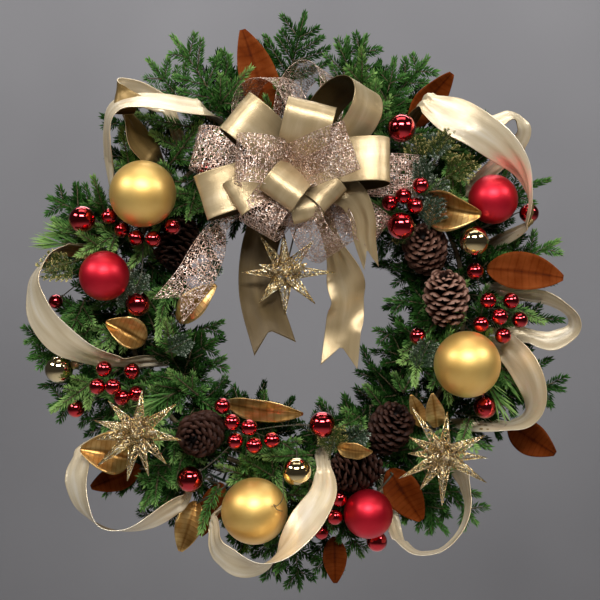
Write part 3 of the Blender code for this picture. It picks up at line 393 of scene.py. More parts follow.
def bumped(look, height, strength, distance):
    nodes, links = nodes_of(look)
    bump = put(nodes, "ShaderNodeBump", Strength=strength, Distance=distance)
    links.new(height, bump.inputs["Height"])
    links.new(bump.outputs["Normal"], nodes["Principled BSDF"].inputs["Normal"])


def object_place(look):
    nodes, _ = nodes_of(look)
    return nodes.new("ShaderNodeTexCoord").outputs["Object"]


def noise_of(look, scale, detail=2.0, place=None):
    nodes, links = nodes_of(look)
    made = put(nodes, "ShaderNodeTexNoise", Scale=scale, Detail=detail)
    links.new(place or object_place(look), made.inputs["Vector"])
    return made.outputs["Fac"]


def attribute(look, name, output="Fac"):
    nodes, _ = nodes_of(look)
    return put(nodes, "ShaderNodeAttribute", attribute_name=name).outputs[output]


def tinted(look, source, stops):
    nodes, links = nodes_of(look)
    links.new(ramp(nodes, links, source, stops), nodes["Principled BSDF"].inputs["Base Color"])


def calc(look, operation, *values):
    """The result of a sum on sockets and numbers."""
    nodes, links = nodes_of(look)
    made = put(nodes, "ShaderNodeMath", operation=operation)
    for entry, value in zip(made.inputs, values):
        if isinstance(value, (int, float)):
            entry.default_value = value
        else:
            links.new(value, entry)
    return made.outputs[0]


def mixed(look, a, b, share):
    return calc(look, "MULTIPLY_ADD", b, share, a)


def stretched(look, source, scale):
    nodes, links = nodes_of(look)
    made = put(nodes, "ShaderNodeMapping", Scale=scale)
    links.new(source, made.inputs["Vector"])
    return made.outputs["Vector"]


def fir_look():
    """Needles: each has its own tint, from deep green to the light green of young tips, and darker towards
    the wall as painted shade deep in the wreath.
    """
    look = material("fir_needles", (0.05, 0.13, 0.03), 0.45, specular=0.06)
    tinted(look, attribute(look, "tint"), (
        (0.0, (0.003, 0.009, 0.002)), (0.35, (0.010, 0.038, 0.006)), (0.6, (0.034, 0.105, 0.019)),
        (0.8, (0.095, 0.225, 0.050)), (1.0, (0.280, 0.450, 0.130))))
    return look


def cedar_look(name, gilded):
    """Cedar scales: olive with gold ends, or blue-green with frosted ends."""
    if gilded:
        look = material(name, (0.2, 0.2, 0.05), 0.4, 0.3)
        stops = ((0.5, (0.020, 0.050, 0.008)), (0.74, (0.085, 0.125, 0.020)), (0.88, (0.72, 0.60, 0.22)))
    else:
        look = material(name, (0.2, 0.25, 0.2), 0.6)
        stops = ((0.5, (0.012, 0.038, 0.012)), (0.76, (0.040, 0.075, 0.035)), (0.90, (0.46, 0.52, 0.42)))
    tinted(look, attribute(look, "tint"), stops)
    return look


def bark_look():
    look = material("fir_bark", (0.10, 0.07, 0.03), 0.8)
    tinted(look, noise_of(look, 180.0), ((0.3, (0.05, 0.035, 0.015)), (0.7, (0.13, 0.10, 0.045))))
    bumped(look, noise_of(look, 400.0), 0.4, 0.001)
    return look


def matte_ball_look(name, deep, light, coat):
    """A satin-frosted lacquer with a faint mottle."""
    look = material(name, light, 0.47, 0.88, coat=coat, coat_rough=0.36)
    tinted(look, noise_of(look, 30.0, 4.0), ((0.3, deep), (0.7, light)))
    bumped(look, noise_of(look, 1500.0), 0.08, 0.0002)
    return look


def shiny_ball_look(name, deep, light):
    look = material(name, light, 0.05, 1.0, coat=1.0)
    tinted(look, noise_of(look, 12.0), ((0.35, deep), (0.65, light)))
    bumped(look, noise_of(look, 60.0), 0.05, 0.0005)
    return look


def cap_look():
    look = material("cap_metal", (0.75, 0.60, 0.32), 0.28, 1.0)
    bumped(look, noise_of(look, 700.0), 0.2, 0.0003)
    return look


def stem_look():
    look = material("covered_wire", (0.05, 0.06, 0.03), 0.6)
    tinted(look, noise_of(look, 200.0), ((0.3, (0.02, 0.035, 0.015)), (0.7, (0.09, 0.06, 0.035))))
    return look


def cone_look():
    """Woody scales with a tan knob and lighter worn edges, near black towards the root: partly the wood's
    own colour, partly painted shade between the scales.
    """
    look = material("cone_scales", (0.1, 0.05, 0.03), 0.5, specular=0.12)
    grain = mixed(look, attribute(look, "tint"), noise_of(look, 350.0, 4.0), 0.16)
    tinted(look, grain, (
        (0.10, (0.003, 0.0015, 0.001)), (0.42, (0.016, 0.006, 0.0035)), (0.70, (0.050, 0.020, 0.013)),
        (0.90, (0.14, 0.064, 0.042)), (1.0, (0.30, 0.17, 0.125))))
    bumped(look, noise_of(look, 500.0, 4.0), 0.5, 0.0006)
    return look


def glitter(look, stops, scale, strength):
    """Small facets, each with its own tone and slope."""
    nodes, links = nodes_of(look)
    cells = put(nodes, "ShaderNodeTexVoronoi", Scale=scale)
    links.new(object_place(look), cells.inputs["Vector"])
    split = nodes.new("ShaderNodeSeparateColor")
    links.new(cells.outputs["Color"], split.inputs["Color"])
    tinted(look, split.outputs["Red"], stops)
    bumped(look, split.outputs["Green"], strength, 0.0008)


def star_look():
    look = material("glitter_wire", (0.8, 0.6, 0.3), 0.22, 0.9)
    glitter(look, ((0.0, (0.30, 0.16, 0.045)), (0.4, (0.84, 0.61, 0.25)), (0.68, (1.0, 0.87, 0.52)),
                   (1.0, (1.0, 0.97, 0.85))), 900.0, 1.0)
    return look


def mesh_look():
    look = material("glitter_net", (0.6, 0.45, 0.38), 0.32, 0.7)
    glitter(look, ((0.0, (0.20, 0.11, 0.075)), (0.45, (0.52, 0.33, 0.24)), (0.8, (0.84, 0.63, 0.51)),
                   (1.0, (1.0, 0.92, 0.86))), 700.0, 1.0)
    return look


def satin_look(name, tones, roughness, metallic):
    """Satin: soft streaky tones along the cloth that lighten and darken its colour as painted sheen and
    bump it as ripples, and a fine weave.
    """
    look = material(name, tones[1], roughness, metallic, specular=0.4)
    cloth = attribute(look, "grain", "Vector")
    sheen_and_ripple_streaks = noise_of(look, 1.0, 5.0, stretched(look, cloth, (9.0, 70.0, 1.0)))
    threads = noise_of(look, 1.0, 2.0, stretched(look, cloth, (900.0, 2500.0, 1.0)))
    # Its streaky tones are painted sheen along the cloth.
    tinted(look, sheen_and_ripple_streaks, tuple(zip((0.25, 0.55, 0.8), tones)))
    bumped(look, mixed(look, sheen_and_ripple_streaks, threads, 0.35), 0.5, 0.0011)
    return look


def leaf_veins(look, count=11, slant=0.16, sharpness=6.0):
    """Side veins that run out from the midrib, read from the blade's own along and across."""
    nodes, links = nodes_of(look)
    split = nodes.new("ShaderNodeSeparateXYZ")
    links.new(attribute(look, "grain", "Vector"), split.inputs["Vector"])
    side = calc(look, "ABSOLUTE", split.outputs["Y"])
    place = calc(look, "MULTIPLY_ADD", side, -slant, split.outputs["X"])
    wave = calc(look, "COSINE", calc(look, "MULTIPLY", place, count * math.tau))
    return calc(look, "POWER", calc(look, "MULTIPLY_ADD", wave, 0.5, 0.5), sharpness)


def leaf_look(name, tones, roughness, metallic=0.0, relief=0.25, coat=0.0, specular=0.5):
    look = material(name, tones[0], roughness, metallic, coat=coat, specular=specular)
    veins = leaf_veins(look)
    mottle = mixed(look, noise_of(look, 45.0, 5.0), attribute(look, "tint"), 0.4)
    tinted(look, mixed(look, mottle, veins, -0.10), tuple(zip((0.25, 0.6, 0.95), tones)))
    bumped(look, mixed(look, noise_of(look, 260.0, 3.0), veins, 0.5), relief, 0.0006)
    return look


# Meshes.
PIECES = []


class Shape:
    """Vertices and faces of one piece while it is made.

    tint is a number for each vertex that some materials read, and grain its place on the flat
    cloth or leaf.
    """

    def __init__(self):
        self.verts = []
        self.faces = []
        self.tints = []
        self.grains = []
        self.slots = []
        self.smooth = []
        self.count = 0

    def add(self, verts, faces, tint=0.5, slot=0, smooth=True, grain=None):
        """Takes vertices and their faces; faces, and slot with them, can be a list of groups."""
        verts = np.asarray(verts, float).reshape(-1, 3)
        self.verts.append(verts)
        self.tints.append(np.broadcast_to(np.asarray(tint, float), len(verts)))
        self.grains.append(np.zeros((len(verts), 3)) if grain is None else grain)
        groups = faces if isinstance(faces, list) else [faces]
        for group, its_slot in zip(groups, slot if isinstance(slot, list) else [slot] * len(groups)):
            self.faces.append(np.asarray(group, int) + self.count)
            self.slots.append(np.full(len(group), its_slot))
            self.smooth.append(np.full(len(group), smooth))
        self.count += len(verts)

    def make(self, name, looks, slot, nodes=()):
        """The finished piece, riding on the wreath and standing for its nodes."""
        mesh = bpy.data.meshes.new(name)
        mesh.vertices.add(self.count)
        mesh.vertices.foreach_set("co", np.concatenate(self.verts).ravel())
        corners = np.concatenate([group.ravel() for group in self.faces])
        sizes = np.concatenate([np.full(len(group), group.shape[1]) for group in self.faces])
        mesh.loops.add(len(corners))
        mesh.loops.foreach_set("vertex_index", corners)
        mesh.polygons.add(len(sizes))
        mesh.polygons.foreach_set("loop_start", np.concatenate([[0], np.cumsum(sizes)[:-1]]))
        mesh.polygons.foreach_set("material_index", np.concatenate(self.slots))
        mesh.polygons.foreach_set("use_smooth", np.concatenate(self.smooth))
        mesh.update(calc_edges=True)
        tint = mesh.attributes.new("tint", "FLOAT", "POINT")
        tint.data.foreach_set("value", np.concatenate(self.tints))
        grain = mesh.attributes.new("grain", "FLOAT_VECTOR", "POINT")
        grain.data.foreach_set("vector", np.concatenate(self.grains).ravel())
        for look in looks:
            mesh.materials.append(look)
        obj = bpy.data.objects.new(name, mesh)
        bpy.context.scene.collection.objects.link(obj)
        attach(obj, "root")
        if nodes:
            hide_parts(*nodes)
        PIECES.append(obj)
        return obj


def unit(vectors):
    return vectors / np.maximum(np.linalg.norm(vectors, axis=-1, keepdims=True), 1e-12)


def ring_faces(rows, sides, closed=False):
    """Quads between rows of points that run round a tube."""
    last = rows if closed else rows - 1
    index = np.arange(last)[:, None] * sides
    after = (np.arange(1, last + 1) % rows)[:, None] * sides
    here = np.arange(sides)[None, :]
    there = (here + 1) % sides
    return np.stack([index + here, index + there, after + there, after + here], -1).reshape(-1, 4)


def tube(shape, points, radius, sides=6, tint=0.5, slot=0, closed=False):
    """A round wire through the points, with closed ends."""
    points = np.array([tuple(point) for point in points], float)
    if closed:
        tangents = unit(np.roll(points, -1, 0) - np.roll(points, 1, 0))
    else:
        tangents = unit(np.gradient(points, axis=0))
    radii = np.broadcast_to(np.asarray(radius, float), len(points))
    side = np.cross(tangents[0], (0.31, 0.2, 0.93))
    angles = np.arange(sides) * math.tau / sides
    rows = []
    for point, tangent, reach in zip(points, tangents, radii):
        side = unit(side - tangent * side.dot(tangent))
        up = np.cross(tangent, side)
        rows.append(point + reach * (np.cos(angles)[:, None] * side + np.sin(angles)[:, None] * up))
    verts = np.concatenate(rows)
    faces = [ring_faces(len(points), sides, closed)]
    if not closed:
        verts = np.concatenate([verts, points[:1], points[-1:]])
        here = np.arange(sides)
        there = (here + 1) % sides
        centre = np.full(sides, len(verts) - 2)
        end = (len(points) - 1) * sides
        faces.append(np.stack([there, here, centre], -1))
        faces.append(np.stack([end + here, end + there, centre + 1], -1))
    shape.add(verts, faces, tint, slot)


def lathe(shape, profile, centre, axis, sides, slot=0, flutes=0, depth=0.0):
    """A turned piece: profile is (radius, height) from its middle along the axis, its ends closed."""
    turn = np.array(Vector((0, 0, 1)).rotation_difference(Vector(axis).normalized()).to_matrix())
    angles = np.arange(sides) * math.tau / sides
    rows = []
    for radius, height in profile:
        reach = radius * (1 + depth * np.cos(angles * flutes)) if flutes else np.full(sides, radius)
        rows.append(np.stack([reach * np.cos(angles), reach * np.sin(angles), np.full(sides, height)], -1))
    ends = [(0, 0, profile[0][1]), (0, 0, profile[-1][1])]
    verts = np.concatenate(rows + [np.array(ends, float)]) @ turn.T + np.array(centre)
    here = np.arange(sides)
    there = (here + 1) % sides
    first = np.full(sides, len(verts) - 2)
    end = (len(profile) - 1) * sides
    faces = [ring_faces(len(profile), sides), np.stack([there, here, first], -1),
             np.stack([end + here, end + there, first + 1], -1)]
    shape.add(verts, faces, slot=slot)


def ball(shape, centre, radius, sides):
    rows = sides // 2
    round_side = [(math.sin(math.pi * k / rows), -math.cos(math.pi * k / rows)) for k in range(1, rows)]
    profile = [(r * radius, h * radius) for r, h in [(0.02, -1.0), *round_side, (0.02, 1.0)]]
    lathe(shape, profile, centre, (0, 1, 0), sides)


def foot(place, ring=None, shift=0.0):
    """The last two points of a stem: above the nearer back ring, and down on its front face."""
    right, up = place.x, place.z + DROP
    radius = math.hypot(right, up)
    degrees = math.degrees(math.atan2(up, right)) + shift
    if ring is None:
        ring = min(BACK_RINGS, key=lambda r: abs(r - radius))
    return [around(ring, degrees, 0.045), around(ring, degrees, WIRE + GAP)]


def smooth_path(knots, count):
    """Points on a smooth curve through the knots; each knot is a list of numbers."""
    line = [knots[0], *knots, knots[-1]]
    places = []
    spans = len(knots) - 1
    for step in range(count + 1):
        along = step / count * spans
        index = min(int(along), spans - 1)
        t = along - index
        a, b, c, d = line[index:index + 4]
        places.append([
            q + 0.5 * t * (r - p + t * (2 * p - 5 * q + 4 * r - s + t * (3 * q - p - 3 * r + s)))
            for p, q, r, s in zip(a, b, c, d)
        ])
    return places


def bent(points, count=12):
    """A stem's points with its corners rounded."""
    return [Vector(place) for place in smooth_path([tuple(point) for point in points], count)]


# The frame and the hanging loop.
def wire_frame():
    """Two back rings and a front ring, with bars and posts between them."""
    shape = Shape()
    for radius, out in ((INNER, 0.0), (OUTER, 0.0), (FRONT_RING, FRONT_RING_OUT)):
        circle = [around(radius, 360 * k / 96, out + WIRE / 2) for k in range(96)]
        tube(shape, circle, WIRE / 2, 10, closed=True)
    for bar in range(BARS):
        degrees = 360 / BARS * (bar + 0.5)
        tube(shape, [around(radius, degrees, WIRE / 2) for radius in BACK_RINGS], WIRE * 0.42, 8)
        post = [around(FRONT_RING, degrees, out) for out in (0.001, FRONT_RING_OUT + 0.002)]
        tube(shape, post, WIRE * 0.4, 8)
    look = material("frame_wire", (0.02, 0.06, 0.03), 0.45, 0.2)
    tinted(look, noise_of(look, 90.0), ((0.3, (0.01, 0.035, 0.015)), (0.7, (0.035, 0.09, 0.04))))
    shape.make("wire_ring", [look], "green_wire", ["wire_frame"])


def hanging_loop():
    """A loop of two-ply cord, knotted in front of the outer ring."""
    shape = Shape()
    half = 0.007
    low = OUTER - 0.003
    top = DROP - CORD_RADIUS
    out = WIRE + GAP + CORD_RADIUS
    steps = ((0.3, low), (0.8, low + 0.02), (1, top - 0.03), (0.9, top - 0.01), (0.5, top - 0.002),
             (0, top))
    left = [(-half * share, up, out) for share, up in steps]
    right = [(-x, y, z) for x, y, z in reversed(left[:-1])]
    path = [at(*place) for place in smooth_path(left + right, CORD_STEPS)]
    for ply in (0, math.pi):
        twisted = []
        for index, place in enumerate(path):
            tangent = (path[min(index + 1, CORD_STEPS)] - path[max(index - 1, 0)]).normalized()
            side = tangent.cross(Vector((0, 1, 0))).normalized()
            up = side.cross(tangent)
            angle = index * 0.5 + ply
            twisted.append(place + (side * math.cos(angle) + up * math.sin(angle)) * CORD_RADIUS * 0.45)
        tube(shape, twisted, CORD_RADIUS * 0.55, 6)
    ball(shape, at(0, low, out + 0.0014), 0.0023, 12)
    look = material("twisted_cord", (0.75, 0.62, 0.40), 0.7, sheen=0.3)
    tinted(look, noise_of(look, 300.0), ((0.3, (0.55, 0.43, 0.25)), (0.7, (0.80, 0.68, 0.46))))
    shape.make("cord_loop", [look], "cord", ["hanging_loop"])


# Baubles.
def bauble_cap(shape, place, back, radius):
    """A crimped metal cap with its wire hook."""
    wide = radius * 0.2 + 0.002
    profile = [(wide * 0.9, -0.0035), (wide * 1.04, -0.002), (wide, -0.001), (wide, 0.0035),
               (wide * 0.85, 0.0045), (wide * 0.3, 0.0048)]
    lathe(shape, profile, place, back, 36, slot=1, flutes=18, depth=0.035)
    side = back.orthogonal().normalized()
    circle = []
    for k in range(16):
        angle = math.tau * k / 16
        circle.append(place + back * (0.0075 + 0.003 * math.cos(angle)) + side * 0.003 * math.sin(angle))
    tube(shape, circle, 0.0004, 6, slot=1, closed=True)


def bauble(node, place, radius, look, slot):
    shape = Shape()
    centre = at(*place)
    knee, end = foot(centre)
    back = (knee - centre).normalized()
    ball(shape, centre, radius, 56)
    bauble_cap(shape, centre + back * (radius + 0.002), back, radius)
    tube(shape, bent([centre + back * (radius + 0.004), knee, end]), 0.0009, 6, slot=2)
    if node == "gold_matte_bauble_3":
        tube(shape, bent([knee, *(at(*spot) for spot in CURL)], 40), 0.0005, 6, slot=2)
    shape.make("dressed_" + node, [look, CAP, STEM], slot, [node])


def baubles():
    gold = matte_ball_look("gold_lacquer", (0.93, 0.56, 0.14), (1.0, 0.67, 0.20), 0.7)
    red = matte_ball_look("red_lacquer", (0.60, 0.007, 0.022), (0.72, 0.012, 0.034), 0.35)
    mirror = shiny_ball_look("gold_mirror", (0.66, 0.50, 0.24), (0.80, 0.64, 0.36))
    for index, place in enumerate(GOLD_MATTE_PLACES):
        bauble(f"gold_matte_bauble_{index + 1}", place, GOLD_MATTE_RADIUS, gold, "matte_gold")
    for index, place in enumerate(RED_MATTE_PLACES):
        bauble(f"red_matte_bauble_{index + 1}", place, RED_MATTE_RADIUS, red, "matte_red")
    for index, place in enumerate(GOLD_SHINY_PLACES):
        bauble(f"gold_shiny_bauble_{index + 1}", place, GOLD_SHINY_RADIUS, mirror, "shiny_gold")


# Berry picks.
def berry_pick(index, hub, berries, look):
    shape = Shape()
    middle = at(*hub)
    tube(shape, bent([middle + Vector((0, -0.002, 0)), *foot(middle)]), 0.0015, 8, slot=1)
    for right, up, out, radius, *bend in berries:
        centre = at(right, up, out)
        run = [middle, *(at(*place) for place in bend), centre]
        toward = (centre - run[-2]).normalized()
        if not bend:
            bow = toward.cross(Vector((0, 1, 0))).normalized() * 0.003
            run.insert(1, middle.lerp(centre, 0.5) + bow)
        tube(shape, bent(run), 0.0007, 6, slot=1)
        ball(shape, centre, radius, 36 if radius > 0.0125 else 26)
        lathe(shape, [(0.0016, -0.001), (0.0022, 0.0), (0.0014, 0.0016), (0.0009, 0.003)],
              centre - toward * radius, -toward, 12, slot=1)
    name = f"red_berry_pick_{index + 1}"
    shape.make("dressed_" + name, [look, STEM], "shiny_red", [name])


def berry_picks():
    look = shiny_ball_look("berry_red", (0.50, 0.003, 0.010), (0.68, 0.006, 0.020))
    for index, (hub, berries) in enumerate(PICKS):
        berry_pick(index, hub, berries, look)


# Pine cones.
def cone_scale(shape, root, along, across, size, tint):
    """One woody scale: a curved plate that thickens to a lens-shaped end with a small point."""
    over = along.cross(across).normalized()
    steps = np.linspace(-1, 1, 5)
    verts, tints = [], []
    for reach, wide, thick in SCALE_ROWS:
        curve = -0.16 * reach * reach
        edge = max(0.0, (reach - 0.55) / 0.5)
        for side in (1, -1):
            for s in steps[::side]:
                height = thick * SCALE_THICKNESS * (0.25 + 0.75 * (1 - s * s)) * side
                bend = curve - 0.10 * s * s
                place = (root + along * (reach * size) + across * (s * wide * size * 0.40)
                         + over * (bend * size + height))
                verts.append(tuple(place))
                # Darker towards the root: partly the scale's own colour, partly painted shade between the
                # scales.
                tints.append(tint * 0.25 + edge * (0.30 + tint * 0.42) + 0.10 * abs(s) * edge)
    sides = 2 * len(steps)
    faces = ring_faces(len(SCALE_ROWS), sides)
    end = (len(SCALE_ROWS) - 1) * sides
    cap = [(end + k, end + k + 1, end + sides - 2 - k, end + sides - 1 - k) for k in range(len(steps) - 1)]
    shape.add(verts, [faces, np.array(cap)], np.array(tints))


def pine_cone(shape, place, pointing, turn, tint, rng):
    """A core with scales on a spiral that open less and less towards the tip."""
    centre = at(*place)
    axis = Vector((pointing[0], -pointing[2], pointing[1])).normalized()
    side = axis.orthogonal().normalized()
    up = axis.cross(side)
    core = [centre + axis * ((k / 8 - 0.5) * CONE_LENGTH * 0.86) for k in range(9)]
    girths = [CONE_CORE + 0.006 * math.sin(math.pi * (0.15 + 0.8 * k / 8)) for k in range(9)]
    # The core takes the darkest tint: painted shade inside the cone.
    tube(shape, core, girths, 10, tint=0.0)
    for k in range(CONE_SCALES):
        t = (k + 0.5) / CONE_SCALES
        height = (t ** 0.92 - 0.5) * CONE_LENGTH * 0.90
        angle = math.radians(137.5 * k + turn)
        outward = side * math.cos(angle) + up * math.sin(angle)
        envelope = CONE_RADIUS * (math.sin(math.pi * (0.14 + 0.80 * t)) ** 0.75) * (1 - 0.28 * t)
        lift = math.radians(8 + 52 * t + rng.uniform(-5, 5))
        along = (outward * math.cos(lift) + axis * math.sin(lift)).normalized()
        across = axis.cross(outward).normalized()
        start = centre + axis * height + outward * CONE_CORE
        length = max(0.006, (envelope - CONE_CORE) / max(0.55, math.cos(lift))) * rng.uniform(0.94, 1.05)
        cone_scale(shape, start, along, across, length, tint + rng.uniform(-0.1, 0.1))


def pine_cones():
    look = cone_look()
    rng = random.Random(SEED)
    for index, (cones, hub) in enumerate(CONES):
        shape = Shape()
        middle = at(*hub) if hub else at(*cones[0][0])
        tube(shape, bent([middle, *foot(middle)]), 0.0014, 8, slot=1)
        for place, pointing, turn, tint in cones:
            if hub:
                tube(shape, [middle, at(*place)], 0.0014, 8, slot=1)
            pine_cone(shape, place, pointing, turn, tint, rng)
        name = f"pine_cone_{index + 1}"
        shape.make("dressed_" + name, [look, STEM], "cone", [name])


# Wire stars: hollow spikes of glittered wire round an open ball.
def wire_spike(shape, centre, direction, length, rng):
    side = direction.orthogonal().normalized()
    up = direction.cross(side)
    turn = rng.uniform(0, math.tau)
    tip = centre + direction * length
    corners = []
    for k in range(SPIKE_LEGS):
        angle = turn + math.tau * k / SPIKE_LEGS
        spread = (side * math.cos(angle) + up * math.sin(angle)) * SPIKE_BASE
        corners.append(centre + direction * SPIKE_START + spread)
    levels = max(4, round(length / 0.008))
    rings = [[corner.lerp(tip, level / levels) for corner in corners] for level in range(levels)]
    for corner in corners:
        tube(shape, [corner, tip], (0.00085, 0.0006), 5)
    for level, ring in enumerate(rings):
        for k in range(SPIKE_LEGS):
            after = (k + 1) % SPIKE_LEGS
            tube(shape, [ring[k], ring[after]], 0.0006, 4)
            if level + 1 < levels:
                tube(shape, [ring[k], rings[level + 1][after]], 0.0005, 4)


def stars():
    look = star_look()
    for index, (place, rim, ring, shift) in enumerate(STARS):
        rng = random.Random(SEED + index)
        shape = Shape()
        centre = at(*place)
        spikes = [(angle, rng.uniform(-8, 8), length) for angle, length in rim]
        for k in range(5):
            spikes.append((72 * k + rim[0][0] + 20, 46.0 + rng.uniform(-6, 6), STAR_RADIUS * 0.72))
            spikes.append((72 * k + rim[0][0] - 5, -40.0, STAR_RADIUS * 0.5))
        spikes.append((0.0, 88.0, STAR_RADIUS * 0.6))
        for angle, lean, length in spikes:
            tilt, turn = math.radians(lean), math.radians(angle)
            flat = math.cos(tilt)
            direction = Vector((math.cos(turn) * flat, -math.sin(tilt), math.sin(turn) * flat))
            wire_spike(shape, centre, direction.normalized(), length, rng)
        tube(shape, bent([centre, *foot(centre, ring, shift)]), 0.0011, 6, slot=1)
        name = f"gold_star_{index + 1}"
        shape.make("dressed_" + name, [look, STEM], "gold_wire", [name])


# Leaves.
def blade(shape, base, tip, width, bulge, fold, roll, rng):
    """A thin curved leaf with a midrib and a wavy rim; its two faces take two materials."""
    root, end = at(*base), at(*tip)
    along = (end - root).normalized()
    length = (end - root).length
    flat = along.cross(Vector((0, -1, 0))).normalized()
    across = Matrix.Rotation(math.radians(roll), 3, along) @ flat
    normal = across.cross(along)
    rows, columns = LEAF_ROWS, LEAF_COLUMNS
    phase = rng.uniform(0, math.tau)
    tint = rng.uniform(0.3, 0.7)
    top, under, grain, tints = [], [], [], []
    for i in range(rows):
        t = i / (rows - 1)
        half = width / 2 * math.sin(math.pi * (0.03 + 0.94 * t ** 0.85)) ** 0.8
        for j in range(columns):
            s = 2 * j / (columns - 1) - 1
            wavy = 0.0014 * math.sin(t * 11 + phase + s) * s * s
            rib = 0.0007 * math.exp(-(s / 0.09) ** 2)
            lift = bulge * math.sin(math.pi * t) + fold * half * abs(s) ** 1.3 + wavy
            place = root.lerp(end, t) + across * half * s + normal * lift
            top.append(tuple(place + normal * (LEAF_THICKNESS + rib)))
            under.append(tuple(place - normal * (LEAF_THICKNESS + rib * 0.3)))
            grain.append((t, s * half / length, 0.0))
            # Darker along the midrib: painted shade in the crease of the fold.
            tints.append(tint + 0.35 * abs(s) ** 6 - 0.7 * math.exp(-(s / 0.07) ** 2))
    count = rows * columns
    grid = np.array([[i * columns + j + corner for corner in (0, 1, columns + 1, columns)]
                     for i in range(rows - 1) for j in range(columns - 1)])
    rim = [i * columns for i in range(rows)] + [(rows - 1) * columns + j for j in range(1, columns)]
    rim += [i * columns + columns - 1 for i in range(rows - 2, -1, -1)] + list(range(columns - 2, 0, -1))
    edge = np.array([(a, b, b + count, a + count) for a, b in zip(rim, rim[1:] + rim[:1])])
    shape.add(top + under, [grid, grid[:, ::-1] + count, edge], np.array(tints * 2), [0, 1, 0],
              grain=np.array(grain * 2))


def leaf_spray(name, leaves, shift, looks, slot):
    shape = Shape()
    rng = random.Random(name)
    first = at(*leaves[0][0])
    knee, end = foot(first, shift=shift)
    for leaf in leaves:
        root, point = at(*leaf[0]), at(*leaf[1])
        joint = root + (point - root).normalized() * 0.004
        tube(shape, bent([end, knee, joint]), [0.0015] * 6 + [0.0013] * 7, 8, slot=2)
        blade(shape, *leaf, rng)
    shape.make("dressed_" + name, looks, slot, [name])


def leaves():
    russet = leaf_look("magnolia_under", (
        (0.045, 0.008, 0.002), (0.120, 0.022, 0.003), (0.20, 0.048, 0.010)), 0.6, specular=0.02)
    glossy = leaf_look("magnolia_upper", (
        (0.015, 0.05, 0.012), (0.03, 0.10, 0.025), (0.10, 0.16, 0.05)), 0.28, coat=0.3)
    gilt = leaf_look("gilded_upper", (
        (0.20, 0.085, 0.018), (0.46, 0.24, 0.065), (0.78, 0.54, 0.22)), 0.30, 0.85, 0.2)
    bronze = leaf_look("gilded_under", (
        (0.18, 0.08, 0.025), (0.34, 0.17, 0.06), (0.50, 0.30, 0.12)), 0.42, 0.6, 0.2)
    for kind, sprays, looks, slot in (
            ("magnolia_leaf", MAGNOLIA, [russet, glossy, STEM], "russet_leaf"),
            ("gold_leaf", GILDED, [gilt, bronze, STEM], "gilded_leaf")):
        for index, (group, shift) in enumerate(sprays):
            leaf_spray(f"{kind}_{index + 1}", group, shift, looks, slot)


# Ribbon.
def ribbon_rows(knots, count):
    """Rows of a ribbon from knots of (right, up, out, lie, tilt, width).

    lie is the angle of the ribbon's width in the picture, anticlockwise from the right, and tilt
    turns its far edge out towards the viewer, both in degrees.
    """
    rows = []
    samples = smooth_path(knots, count)
    places = [at(*sample[:3]) for sample in samples]
    for index, sample in enumerate(samples):
        before = places[max(index - 1, 0)]
        after = places[min(index + 1, count)]
        tangent = (after - before).normalized()
        lie, tilt = math.radians(sample[3]), math.radians(sample[4])
        across = Vector((math.cos(lie) * math.cos(tilt), -math.sin(tilt), math.sin(lie) * math.cos(tilt)))
        across = (across - tangent * across.dot(tangent)).normalized()
        rows.append((places[index], across, sample[5]))
    return rows


def loop_end(rows, ring, degrees):
    """Rows that bring a ribbon down on a back ring, edge first."""
    centre, across, _ = rows[-1]
    angle = math.radians(degrees)
    level = Vector((-math.sin(angle), 0, math.cos(angle)))
    if level.dot(across) < 0:
        level = -level
    landing = around(ring, degrees, 0.014)
    on_way = landing.lerp(centre, 0.42)
    on_way.y = -0.034
    last = around(ring, degrees, WIRE + 2 * GAP)
    return [(on_way, (across + level).normalized(), TUCKED_WIDTH * 1.6), (landing, level, TUCKED_WIDTH),
            (last, level, TUCKED_WIDTH)]


def bow_loop(root, direction, lean, length, bulge, roll, widest):
    """Rows of one loop out of the bow's core and back."""
    core = at(*root)
    flat = Vector((math.cos(math.radians(direction)), 0, math.sin(math.radians(direction))))
    viewer = Vector((0, -1, 0))
    along = flat * math.cos(math.radians(lean)) + viewer * math.sin(math.radians(lean))
    side = along.cross(viewer).normalized()
    across = Matrix.Rotation(math.radians(roll), 3, along) @ side
    over = along.cross(across)
    rows = []
    for step in range(LOOP_ROWS + 1):
        t = step / LOOP_ROWS
        reach = (1 - math.cos(math.tau * t)) / 2
        swell = math.sin(math.tau * t) * math.sin(math.pi * t) / 0.77
        place = core + along * length * reach + over * (bulge * swell + 0.0028 * math.cos(math.pi * t))
        width = widest * min(1.0, 0.34 + 3.2 * reach)
        rows.append((place, across, width))
    return rows


def laid_rows(rows):
    """For each row: centre, across, over, half width, length so far and tangent, as arrays."""
    centres = np.array([tuple(row[0]) for row in rows])
    across = unit(np.array([tuple(row[1]) for row in rows]))
    half = np.array([row[2] for row in rows]) / 2
    tangents = unit(np.gradient(centres, axis=0))
    over = unit(np.cross(tangents, across))
    steps = np.linalg.norm(np.diff(centres, axis=0), axis=1)
    so_far = np.concatenate([[0.0], np.cumsum(steps)])
    return centres, across, over, half, so_far, tangents


def place_on_ribbon(laid, index, s, seed, crumple, notch):
    """The surface place at a row for positions s across, with pleats, crumples and a cut end."""
    centres, across, over, half, so_far, tangents = laid
    w = half[index]
    depth = min(PLEAT, 0.006 * (1 - w / half.max()), 0.22 * w)
    height = depth * np.sin(s * math.pi * 2.4 + seed)
    length = so_far[index]
    waves = [noise.noise(Vector((length * 26, float(k) * 1.3, seed * 7.7))) for k in s]
    height = height + crumple * np.array(waves)
    place = centres[index] + across[index] * (s * w)[:, None] + over[index] * height[:, None]
    if notch:
        left = so_far[-1] - length
        pull = max(0.0, 1 - left / notch)
        place = place + tangents[index] * ((np.abs(s) - 0.5) * notch * pull)[:, None]
    return place


